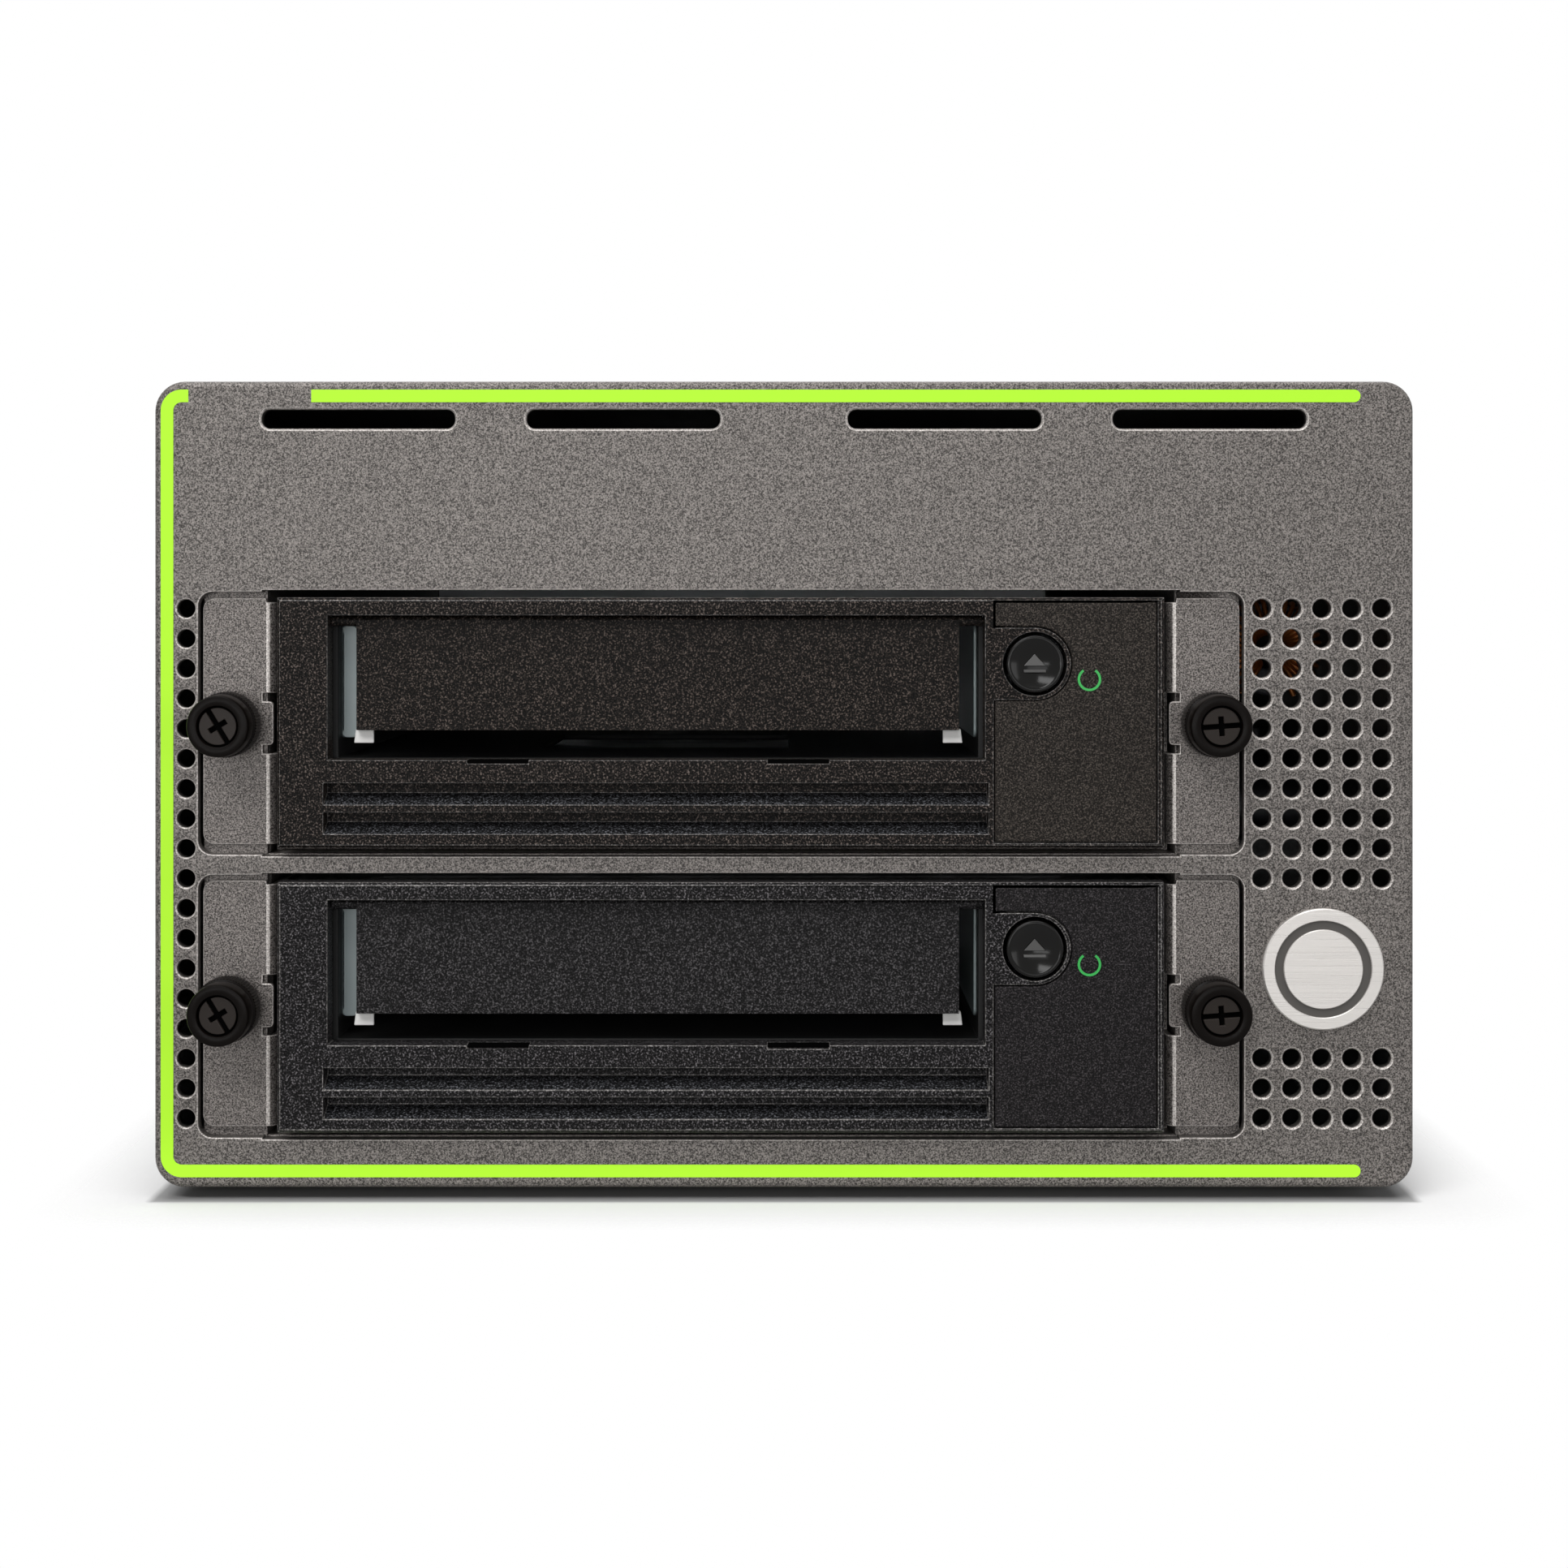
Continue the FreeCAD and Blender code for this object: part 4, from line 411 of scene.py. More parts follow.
def makePanel():
    sizes = {"edge": 0.9, "bayEdge": 0.2, "vent": 1.56, "ventEdge": 0.36, "nearVent": 1.52,
             "nearEdge": 0.26, "ventSteps": 28, "inset": 5.3, "base": 11.6, "pitch": 5.0, "rows": 18,
             "columns": 5, "gap": (3, 8), "slots": (-71.0, -26.8, 26.8, 71.0), "slotHalf": 16.15,
             "slotTop": 4.7, "slotHigh": 3.2, "slotRound": 1.44, "slotEdge": 0.4}
    arc = [(1 - math.sin(pi * k / 8), 1 - math.cos(pi * k / 8)) for k in range(5)]
    slope = [(1.0, 0.0), (0.85, 0.06), (0.1, 0.75), (0.0, 1.0)]
    outer = roundedRect(-panel["half"], 0, panel["half"], panel["height"], panel["corner"], 10)
    holes = [(bayLoop(bay, 6), sizes["bayEdge"], arc) for bay in range(2)]
    top, half = panel["height"] - sizes["slotTop"], sizes["slotHalf"]
    for middle in sizes["slots"]:
        slot = roundedRect(middle - half, top - sizes["slotHigh"], middle + half, top, sizes["slotRound"], 6)
        holes.append((slot, sizes["slotEdge"], slope))
    edge, base = panel["half"] - sizes["inset"], sizes["base"]
    pitch, steps = sizes["pitch"], sizes["ventSteps"]
    for k in range(sizes["rows"]):
        vent = circleLoop(-edge, base + pitch * k, sizes["nearVent"], steps)
        holes.append((vent, sizes["nearEdge"], slope))
    for column in range(sizes["columns"]):
        for k in (*range(sizes["gap"][0]), *range(sizes["gap"][1], sizes["rows"])):
            vent = circleLoop(edge - pitch * column, base + pitch * k, sizes["vent"], steps)
            holes.append((vent, sizes["ventEdge"], slope))
    points, faces, highlightFaces = [], [], []

    def addRing(outline, depth):
        start = len(points)
        points.extend(panelPoint(x, depth, z) for x, z in outline)
        return range(start, len(points))

    def edgeRings(loop, radius, shape, sense, back):
        rings = [addRing(loop(sense * radius * away), radius * deep) for away, deep in shape]
        rings.append(addRing(loop(0), back))
        for near, far in zip(rings, rings[1:]):
            faces.extend(joinRings(near, far))
            if sense > 0 and far is not rings[-1]:
                highlightFaces.extend(range(len(faces) - len(near), len(faces)))
        return rings

    def fill(loops):
        flat = [[Vector((points[k].x, points[k].z, 0)) for k in loop] for loop in loops]
        order = [k for loop in loops for k in loop]
        faces.extend(tuple(order[k] for k in t) for t in tessellate_polygon(flat))

    outerRings = edgeRings(outer, sizes["edge"], arc, -1, panel["return"])
    holeRings = [edgeRings(loop, radius, shape, 1, panel["plate"]) for loop, radius, shape in holes]
    fill([outerRings[0]] + [rings[0] for rings in holeRings])
    wall = panel["wall"]
    inner = roundedRect(-panel["half"] + wall, wall, panel["half"] - wall, panel["height"] - wall,
                        panel["corner"] - wall, 10)(0)
    rim, root = addRing(inner, panel["return"]), addRing(inner, panel["plate"])
    faces += joinRings(outerRings[-1], rim) + joinRings(rim, root)
    fill([root] + [rings[-1] for rings in holeRings])
    item = addMesh("panel_shell", points, faces, panelPaint, "casing")
    # The rounded rims of the holes take the lighter paint: a painted highlight
    item.data.materials.append(rimHighlightPaint)
    for k in highlightFaces:
        item.data.polygons[k].material_index = 1
    fixNormals(item)
    weighNormals(item)
    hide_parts("front_panel")


makePanel()
print("panel made")


# Stripe and badge
def makeStripe():
    sizes = {"left": -103.9, "low": 1.8, "high": 133.1, "width": 2.1, "corner": 3.5, "end": 95.05,
             "gapLeft": -99.3, "gapRight": -78.8, "film": 0.08}
    width, half = sizes["width"], sizes["width"] / 2
    cx = sizes["left"] + sizes["corner"]
    lowC, highC = sizes["low"] + sizes["corner"], sizes["high"] - sizes["corner"]
    inner = sizes["corner"] - width
    long = [(sizes["gapLeft"], sizes["high"])]
    long += arcPoints(cx, highC, sizes["corner"], pi / 2, pi, 12)
    long += arcPoints(cx, lowC, sizes["corner"], pi, 1.5 * pi, 12)
    long += arcPoints(sizes["end"], sizes["low"] + half, half, -pi / 2, pi / 2, 16)
    long += arcPoints(cx, lowC, inner, 1.5 * pi, pi, 12) + arcPoints(cx, highC, inner, pi, pi / 2, 12)
    long.append((sizes["gapLeft"], sizes["high"] - width))
    short = [(sizes["gapRight"], sizes["high"]), (sizes["gapRight"], sizes["high"] - width)]
    short += arcPoints(sizes["end"], sizes["high"] - half, half, -pi / 2, pi / 2, 16)
    first = addPrism("stripe_round_side", long, -sizes["film"], 0, limeFilm, "casing")
    second = addPrism("stripe_top", short, -sizes["film"], 0, limeFilm, "casing")
    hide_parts("accent_stripe")


def makeBadge():
    sizes = {"x": 89.7, "z": 36.6, "radius": 10.1, "ring": 8.05, "disc": 6.6, "thick": 1.2, "depth": 0.55}
    centre, r, thick = panelPoint(sizes["x"], 0, sizes["z"]), sizes["radius"], sizes["thick"]
    ring = [(sizes["ring"], -thick + sizes["depth"]), (sizes["ring"], -thick + 0.12),
            (sizes["ring"] + 0.12, -thick), (r - 0.2, -thick), (r, -thick + 0.2), (r, 0)]
    outer = addTurned("badge_ring", ring, centre, badgeMetal, "casing", 96, closed=False)
    disc = [(0.01, -thick), (sizes["disc"] - 0.12, -thick), (sizes["disc"], -thick + 0.12),
            (sizes["disc"], -thick + sizes["depth"])]
    addTurned("badge_disc", disc, centre, badgeMetal, "casing", 96, closed=False)
    floor = [(0.01, -thick + sizes["depth"]), (sizes["ring"] + 0.3, -thick + sizes["depth"])]
    addTurned("badge_floor", floor, centre, badgeDark, "casing", 96, closed=False)
    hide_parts("round_badge")


makeStripe()
makeBadge()
print("stripe and badge made")


# Thumbscrews

# Half of a screw head beside its slot, with its half of the cross recess
def headHalf(radius, slot, arm, turn):
    reach = math.sqrt(radius**2 - slot**2)
    edge = math.asin(slot / radius)
    flat = [(-reach, slot), (-slot, slot), (-slot, arm), (slot, arm), (slot, slot), (reach, slot)]
    flat += arcPoints(0, 0, radius, edge, pi - edge, 24)[1:-1]
    cosine, sine = math.cos(turn), math.sin(turn)
    return [(x * cosine - z * sine, x * sine + z * cosine) for x, z in flat]


def makeThumbscrew(prefix, bay, side, word):
    sizes = {"x": 81.9, "z": 22.1, "radius": 5.42, "front": -9.75, "back": -0.15, "teeth": 64, "tooth": 0.2,
             "face": 5.02, "recess": 3.4, "deep": 1.3, "floor": 1.15, "head": 3.06, "sunk": 0.45,
             "slot": 0.43, "arm": 1.6, "shank": 2.0, "turns": {-1: -59, 1: 4}}
    body = f"{prefix}_thumbscrew_{word}"
    centre = bayPoint(bay, side * sizes["x"], 0, sizes["z"])
    r, face, recess = sizes["radius"], sizes["face"], sizes["recess"]
    front, back = sizes["front"], sizes["back"]
    profile = [(recess, front + sizes["deep"]), (recess, front + 0.16), (recess + 0.05, front + 0.05),
               (recess + 0.16, front), (face - 0.22, front), (face - 0.07, front + 0.07),
               (face, front + 0.22), (face + 0.06, front + 1.2), (face + 0.16, front + 3.2),
               (face + 0.06, front + 3.9), (face - 0.25, front + 4.1), (face - 0.25, front + 4.6),
               (r - 0.14, front + 4.9), (r, front + 5.1), (r, back - 0.7), (r - 0.2, back - 0.4),
               (r - 0.5, back)]
    profile += [(sizes["shank"], back), (sizes["shank"], back + 5.7), (sizes["shank"] - 0.5, back + 6.5)]
    toothed = (13, 14)

    def knurl(index, k):
        return sizes["tooth"] if index in toothed and k % 2 else 0

    knob = addTurned(f"{body}_knob", profile, centre, screwBlack, body, 2 * sizes["teeth"], knurl,
                     closed=False)
    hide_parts(body)
    turn, level = math.radians(sizes["turns"][side]), front + sizes["sunk"]

    def place(x, y, z):
        return centre + Vector((x, y, z)) * mm

    for name, extra in (("upper", 0), ("lower", pi)):
        half = headHalf(sizes["head"], sizes["slot"], sizes["arm"], turn + extra)
        head = addPrism(f"{body}_head_{name}", half, level, front + sizes["deep"], screwHead, body, place)
        softenEdges(head, 0.13, 3)
    # A black disc at the bottom of the recess is painted shade round the head
    floor = front + sizes["floor"]
    addTurned(f"{body}_head_painted_shade", [(0.01, floor), (recess + 0.1, floor)], centre, paintedShadeBlack, body, 32,
              closed=False)


for bay, prefix in enumerate(drives):
    for side, word in ((-1, "left"), (1, "right")):
        makeThumbscrew(prefix, bay, side, word)
print("thumbscrews made")


# Eject buttons, control plates and status rings
def makeButton(prefix, bay):
    sizes = {"x": 52.05, "z": 32.15, "radius": 4.76, "front": -3.5, "length": 4.9, "rim": 0.4, "lip": 0.2,
             "dish": 1.25, "markHalf": 1.85, "markTop": 1.65, "markBase": -0.35, "barTop": -0.95,
             "barLow": -1.45}
    body = f"{prefix}_eject_button"
    centre, r, front = bayPoint(bay, sizes["x"], 0, sizes["z"]), sizes["radius"], sizes["front"]
    flat, rim = r - sizes["rim"] - sizes["lip"], sizes["rim"]
    profile = [(flat * k / 16 + 0.01, front + sizes["dish"] * (1 - (k / 16) ** 2)) for k in range(17)]
    for k in range(6):
        turn = pi / 2 * k / 5
        profile.append((r - rim + rim * math.sin(turn), front + rim * (1 - math.cos(turn))))
    profile.append((r, front + sizes["length"]))
    button = addTurned(f"{prefix}_button", profile, centre, buttonGloss, body, 80, closed=False)
    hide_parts(body)
    x, z, floor = sizes["x"], sizes["z"], front + sizes["dish"]

    def place(px, y, pz):
        sunk = sizes["dish"] * ((px - x) ** 2 + (pz - z) ** 2) / flat**2
        return bayPoint(bay, px, y - sunk, pz)

    left, right, base = x - sizes["markHalf"], x + sizes["markHalf"], z + sizes["markBase"]
    low, top = z + sizes["barLow"], z + sizes["barTop"]
    outlines = {"triangle": [(left, base), (right, base), (x, z + sizes["markTop"])],
                "bar": [(left, low), (right, low), (right, top), (left, top)]}
    for name, outline in outlines.items():
        mark = addPrism(f"{prefix}_eject_{name}", outline, floor - 0.13, floor + 0.1, symbolPlastic, body,
                        place)
        softenEdges(mark, 0.07)


# The control plate, with a notch round the button that is open to the left
def makeControlPlate(prefix, bay):
    sizes = {"left": 45.45, "right": 72.15, "low": 2.7, "high": 42.35, "front": -3.04, "back": -1.6,
             "x": 52.05, "z": 32.15, "notch": 6.2}
    x, z, notch = sizes["x"], sizes["z"], sizes["notch"]
    outline = [(sizes["left"], sizes["low"]), (sizes["right"], sizes["low"]), (sizes["right"], sizes["high"]),
               (sizes["left"], sizes["high"]), (sizes["left"], z + notch)]
    outline += arcPoints(x, z, notch, pi / 2, -pi / 2, 36) + [(sizes["left"], z - notch)]
    plate = addPrism(f"{prefix}_plate", outline, sizes["front"], sizes["back"], controlPlastic[prefix],
                     f"{prefix}_sled", bayPlace(bay))
    softenEdges(plate, 0.2)
    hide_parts(f"{prefix}_control_plate")


def makeStatus(prefix, bay):
    sizes = {"x": 61.05, "z": 29.6, "outer": 1.95, "line": 0.40, "open": 34, "front": -3.14, "back": -3.02}
    gap = math.radians(sizes["open"])
    outer = arcPoints(sizes["x"], sizes["z"], sizes["outer"], pi / 2 + gap, 2.5 * pi - gap, 40)
    inner = arcPoints(sizes["x"], sizes["z"], sizes["outer"] - sizes["line"], 2.5 * pi - gap, pi / 2 + gap,
                      40)
    ring = addPrism(f"{prefix}_status", outer + inner, sizes["front"], sizes["back"], statusGreen,
                    f"{prefix}_sled", bayPlace(bay))
    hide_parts(f"{prefix}_status_ring")


for bay, prefix in enumerate(drives):
    makeButton(prefix, bay)
    makeStatus(prefix, bay)
    makeControlPlate(prefix, bay)
print("buttons made")


# Sleds

# One side of a sled is a bent sheet: an ear that faces the front, a round bend, and the wall beside the drive
def makeSledSide(prefix, bay, side):
    sizes = {"face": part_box(f"{prefix}_sled")[0].y, "reach": 86.7, "low": 1.85, "high": 43.05,
             "corner": 1.9, "wall": 74.5, "bend": 1.6, "steps": 8, "screw": 22.1, "relief": 5.05,
             "tongue": 3.65, "root": 76.7, "tip": 74.9, "tipRound": 0.7, "deep": 6.0, "floor": 0.35,
             "rim": 42.35, "end": 204.0, "sheet": 1.0}
    face = (sizes["face"] - panelLow.y) / mm
    low, high, rim, wall, bend = sizes["low"], sizes["high"], sizes["rim"], sizes["wall"], sizes["bend"]
    near, far = sizes["screw"] - sizes["relief"], sizes["screw"] + sizes["relief"]
    points, known = [], {}

    def at(x, y, z):
        key = (round(x, 4), round(y, 4), round(z, 4))
        if key not in known:
            known[key] = len(points)
            points.append(bayPoint(bay, side * x, y, z))
        return known[key]

    start, reach, corner = wall + bend, sizes["reach"], sizes["corner"]
    tip, tipRound, root = sizes["tip"], sizes["tipRound"], sizes["root"]
    down, up = sizes["screw"] - sizes["tongue"], sizes["screw"] + sizes["tongue"]
    ear = [(start, low)] + arcPoints(reach - corner, low + corner, corner, -pi / 2, 0, 6)
    ear += arcPoints(reach - corner, high - corner, corner, 0, pi / 2, 6)
    ear += [(start, high), (start, rim), (start, far), (root, far), (root, up)]
    ear += arcPoints(tip + tipRound, up - tipRound, tipRound, pi / 2, pi, 5)
    ear += arcPoints(tip + tipRound, down + tipRound, tipRound, pi, 1.5 * pi, 5)
    ear += [(root, down), (root, near), (start, near)]
    faces, bright = [tuple(at(x, face, z) for x, z in ear)], []
    for bottom, top in ((low, near), (far, rim)):
        for k in range(sizes["steps"]):
            turns = [pi / 2 * (k + j) / sizes["steps"] for j in (0, 1)]
            (x0, y0), (x1, y1) = [(start - bend * math.sin(turn), face + bend * (1 - math.cos(turn)))
                                  for turn in turns]
            faces.append((at(x0, y0, bottom), at(x1, y1, bottom), at(x1, y1, top), at(x0, y0, top)))
            # The first two facets of each bend take the lighter paint as a painted highlight
            if k < 2:
                bright.append(len(faces) - 1)
    first, deep, end = face + bend, face + sizes["deep"], sizes["end"]
    edge = [(first, low), (first, near), (deep, near), (deep, far), (first, far), (first, rim), (end, rim),
            (end, sizes["floor"]), (deep, sizes["floor"]), (deep, low)]
    faces.append(tuple(at(wall, y, z) for y, z in edge))
    word = "left" if side < 0 else "right"
    item = addMesh(f"{prefix}_sled_side_{word}", points, faces, earPaint, f"{prefix}_sled")
    fixNormals(item)
    if item.data.polygons[0].normal.y > 0:
        item.data.flip_normals()
    sheet = item.modifiers.new("Sheet", "SOLIDIFY")
    sheet.thickness, sheet.offset = sizes["sheet"] * mm, -1
    # The bevelled edges take the lighter paint as a painted highlight
    softenEdges(item, 0.3, 3, 50, rimHighlightPaint)
    for k in bright:
        item.data.polygons[k].material_index = 1
    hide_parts(f"{prefix}_sled")


def makeSledFloor(prefix, bay):
    sizes = {"half": 75.5, "front": 7.5, "back": 204.0, "low": 0.35, "high": 1.35}
    low = bayPoint(bay, -sizes["half"], sizes["front"], sizes["low"])
    high = bayPoint(bay, sizes["half"], sizes["back"], sizes["high"])
    addBox(f"{prefix}_sled_floor", low, high, earPaint, f"{prefix}_sled")


for bay, prefix in enumerate(drives):
    for side in (-1, 1):
        makeSledSide(prefix, bay, side)
    makeSledFloor(prefix, bay)
print("sleds made")


# Cartridge bays

# Grey plates along the tray's walls, the left one lighter as painted light, a flange, black boxes of painted
# shade in the bezel notches, and the white runners behind the door's lower corners
def makeBay(prefix, bay):
    sizes = {"left": -64.4, "right": 43.1, "liner": 0.5, "front": 7.0, "back": 104.0, "low": 19.4,
             "high": 38.4, "round": 1.2, "flange": 2.7, "flangeRound": 0.9, "sheet": 0.6, "doorLeft": -60.7,
             "doorRight": 39.65, "runnerLow": 18.8, "doorBack": 1.3, "runner": 0.7,
             "notches": {"left": -42.0, "right": 7.8}, "notchWide": 10.2, "notchFront": -1.8,
             "notchLow": 15.6, "notchHigh": 16.2}
    tray = f"{prefix}_loader_tray"
    plate = roundedRect(sizes["front"], sizes["low"], sizes["back"], sizes["high"], sizes["round"], 6)(0)
    # The left liner gets the lighter grey, painted light
    sides = (("left", sizes["left"], sizes["liner"], trayGreyLit),
             ("right", sizes["right"], -sizes["liner"], trayFlange))
    for name, x, depth, material in sides:
        liner = addPrism(f"{prefix}_tray_liner_{name}", plate, x, x + depth, material, tray,
                         lambda y, x, z: bayPoint(bay, x, y, z))
        softenEdges(liner, 0.15)

    edge, start = sizes["left"] + sizes["flange"], sizes["front"]
    outline = roundedRect(sizes["left"], sizes["low"], edge, sizes["high"], sizes["flangeRound"], 6)(0)
    flange = addPrism(f"{prefix}_tray_flange", outline, start, start + sizes["sheet"], trayFlange, tray,
                      bayPlace(bay))
    softenEdges(flange, 0.15)
    # Black boxes in the bezel notches are painted shade
    for name, start in sizes["notches"].items():
        low = bayPoint(bay, start, sizes["notchFront"], sizes["notchLow"])
        high = bayPoint(bay, start + sizes["notchWide"], 0.0, sizes["notchHigh"])
        addBox(f"{prefix}_notch_{name}", low, high, paintedShadeBlack, f"{prefix}_sled", 0.02)

    low, back = sizes["runnerLow"], sizes["doorBack"]
    for name, edge, side in (("left", sizes["doorLeft"], 1), ("right", sizes["doorRight"], -1)):
        outline = [(edge - 0.7 * side, low), (edge + 2.6 * side, low), (edge + 2.6 * side, low + 5.0),
                   (edge + 0.1 * side, low + 5.0), (edge + 0.1 * side, low + 2.5),
                   (edge - 0.4 * side, low + 2.3)]
        runner = addPrism(f"{prefix}_runner_{name}", outline, back, back + sizes["runner"], nylonWhite,
                          f"{prefix}_door", bayPlace(bay))
        softenEdges(runner, 0.15)
        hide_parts(f"{prefix}_door_glides")


for bay, prefix in enumerate(drives):
    makeBay(prefix, bay)
print("cartridge bays made")


# Power supply
def addBlock(name, low, high, material, soft=0.3):
    return addBox(name, panelPoint(*low), panelPoint(*high), material, "casing", soft)


# A turned piece whose axis runs to the right, from the board outwards
def addDrum(name, profile, y, z, material):
    item = addTurned(name, profile, Vector((0, 0, 0)), material, "casing", 48)
    for vertex in item.data.vertices:
        x, depth, up = vertex.co
        vertex.co = panelPoint(depth / mm, y + x / mm, z + up / mm)
    fixNormals(item)
    return item


def makeChoke():
    sizes = {"x": 87.2, "y": 35.0, "z": 89.2, "middle": 6.0, "half": 3.0, "thick": 0.8, "wires": 34,
             "wire": 0.85, "open": 50, "holder": ((72.4, 31.0, 83.5), (80.2, 39.0, 95.0))}
    section = [(sizes["half"] * a, sizes["half"] * b) for a, b in ((1, 1), (-1, 1), (-1, -1), (1, -1))]
    steps, points = 72, []
    for k in range(steps):
        turn = 2 * pi * k / steps
        for across, deep in section:
            r = sizes["middle"] + across * sizes["thick"]
            x, z = sizes["x"] + r * math.cos(turn), sizes["z"] + r * math.sin(turn)
            points.append(panelPoint(x, sizes["y"] + deep, z))
    faces = [tuple(corner % len(points) for corner in face) for face in ringFaces(steps, 4)]
    core = addMesh("choke_core", points, faces, ferriteGrey, "casing", smooth=False)
    fixNormals(core)
    softenEdges(core, 0.5)
    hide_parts("supply_components")
    curve = bpy.data.curves.new("choke_winding", "CURVE")
    curve.dimensions = "3D"
    curve.bevel_depth, curve.bevel_resolution = sizes["wire"] / 2 * mm, 2
    gap = math.radians(sizes["open"])
    spline = curve.splines.new("NURBS")
    path = []
    for k in range(sizes["wires"]):
        for c, (across, deep) in enumerate(((1, -1), (-1, -1), (-1, 1), (1, 1))):
            turn = -pi / 2 + gap / 2 + (2 * pi - gap) * (k + c / 4) / sizes["wires"]
            r = sizes["middle"] + across * (sizes["thick"] * sizes["half"] + sizes["wire"])
            y = sizes["y"] + deep * (sizes["half"] + sizes["wire"])
            path.append(panelPoint(sizes["x"] + r * math.cos(turn), y, sizes["z"] + r * math.sin(turn)))
    spline.points.add(len(path) - 1)
    for point, place in zip(spline.points, path):
        point.co = (*place, 1)
    spline.order_u = 3
    spline.use_endpoint_u = True
    curve.materials.append(copperWire)
    winding = addItem("choke_winding", curve)
    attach(winding, "casing")
    addBlock("choke_holder", *sizes["holder"], plasticBlack)


def makeSupply():
    sizes = {"face": 72.4, "canY": 67.0, "canRadius": 10.9, "canReach": 26.0, "cans": (32.0, 58.0),
             "terminal": 12.25, "screwY": 161.0, "screwZ": 36.6, "screwPitch": 7.0, "screws": 6,
             "sinks": (136.0, 142.0), "sinkReach": 24.0, "sinkSheet": 2.0, "sinkLow": 20.0, "sinkHigh": 90.0,
             "regulators": (34.0, 62.0), "regulatorThick": 4.4}
    face = sizes["face"]
    makeChoke()
    core = addBlock("transformer_core", (face, 97.0, 40.0), (face + 25.0, 121.0, 72.0), ferriteGrey, soft=0.6)
    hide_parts("supply_components")
    addBlock("transformer_winding", (face + 3.0, 90.6, 45.5), (face + 22.0, 127.4, 66.5), tapeYellow,
             soft=2.5)
    addBlock("filter_block", (face, 28.0, 32.0), (face + 20.0, 50.0, 56.0), plasticBlack, soft=0.9)
    for k, z in enumerate(sizes["cans"]):
        r, far = sizes["canRadius"], face + sizes["canReach"]
        sleeve = [(r - 1.6, far - 0.4), (r - 1.0, far), (r - 0.4, far - 0.3), (r, far - 1.0), (r, face + 3.4),
                  (r - 0.8, face + 2.6), (r, face + 1.8), (r, face + 0.1), (0.01, face)]
        addDrum(f"capacitor_{k}", sleeve, sizes["canY"], z, sleeveBlack)
        top = [(0.01, far - 0.35), (r - 1.4, far - 0.35), (r - 1.4, far - 1.2)]
        addDrum(f"capacitor_top_{k}", top, sizes["canY"], z, canSilver)
    addBlock("supply_terminal", (face, 156.0, 32.0), (face + 12.0, 166.0, 76.0), terminalGreen, soft=0.4)
    top = face + sizes["terminal"]
    for k in range(sizes["screws"]):
        screw, z = [(0.01, top), (2.0, top), (2.2, top - 0.25)], sizes["screwZ"] + sizes["screwPitch"] * k
        addDrum(f"terminal_screw_{k}", screw, sizes["screwY"], z, zincSteel)
    sheet, thick = sizes["sinkSheet"], sizes["regulatorThick"]
    for k, y in enumerate(sizes["sinks"]):
        low, high = (face, y, sizes["sinkLow"]), (face + sizes["sinkReach"], y + sheet, sizes["sinkHigh"])
        addBlock(f"heat_sink_{k}", low, high, canSilver)
        start = y + (sheet if k else -thick)
        for c, z in enumerate(sizes["regulators"]):
            addBlock(f"regulator_{k}_{c}", (face + 6.0, start, z), (face + 16.0, start + thick, z + 15.0),
                     chipBlack)


makeSupply()
print("power supply made")


# Fasteners at the rear and the sides, and what sits in the ports
def makeScrew(name, centre, normal, radius, height):
    side = Vector((0, 0, 1)).cross(normal).normalized()
    up = normal.cross(side)
    steps, rings, points = 32, 5, []
    faces = ringFaces(rings, steps)
    for ring in range(rings + 1):
        slope = pi / 2 * ring / rings
        r, lift = radius * math.cos(slope * 0.72), height * math.sin(slope)
        for k in range(steps):
            turn = 2 * pi * k / steps
            away = side * (r * math.cos(turn)) + up * (r * math.sin(turn)) + normal * lift
            points.append(centre + away * mm)
    faces.append(tuple(range(rings * steps, (rings + 1) * steps)))
    head = addMesh(name, points, faces, zincSteel, "casing")
    fixNormals(head)
    arm, thin = radius * 0.52, radius * 0.13
    cross = [(-arm, -thin), (-thin, -thin), (-thin, -arm), (thin, -arm), (thin, -thin), (arm, -thin),
             (arm, thin), (thin, thin), (thin, arm), (-thin, arm), (-thin, thin), (-arm, thin)]

    def place(x, y, z):
        return centre + (side * x + up * z + normal * y) * mm

    # A black cross set into the head is painted shade for the cross recess
    addPrism(f"{name}_cross", cross, height - 0.25, height + 0.02, chipBlack, "casing", place)


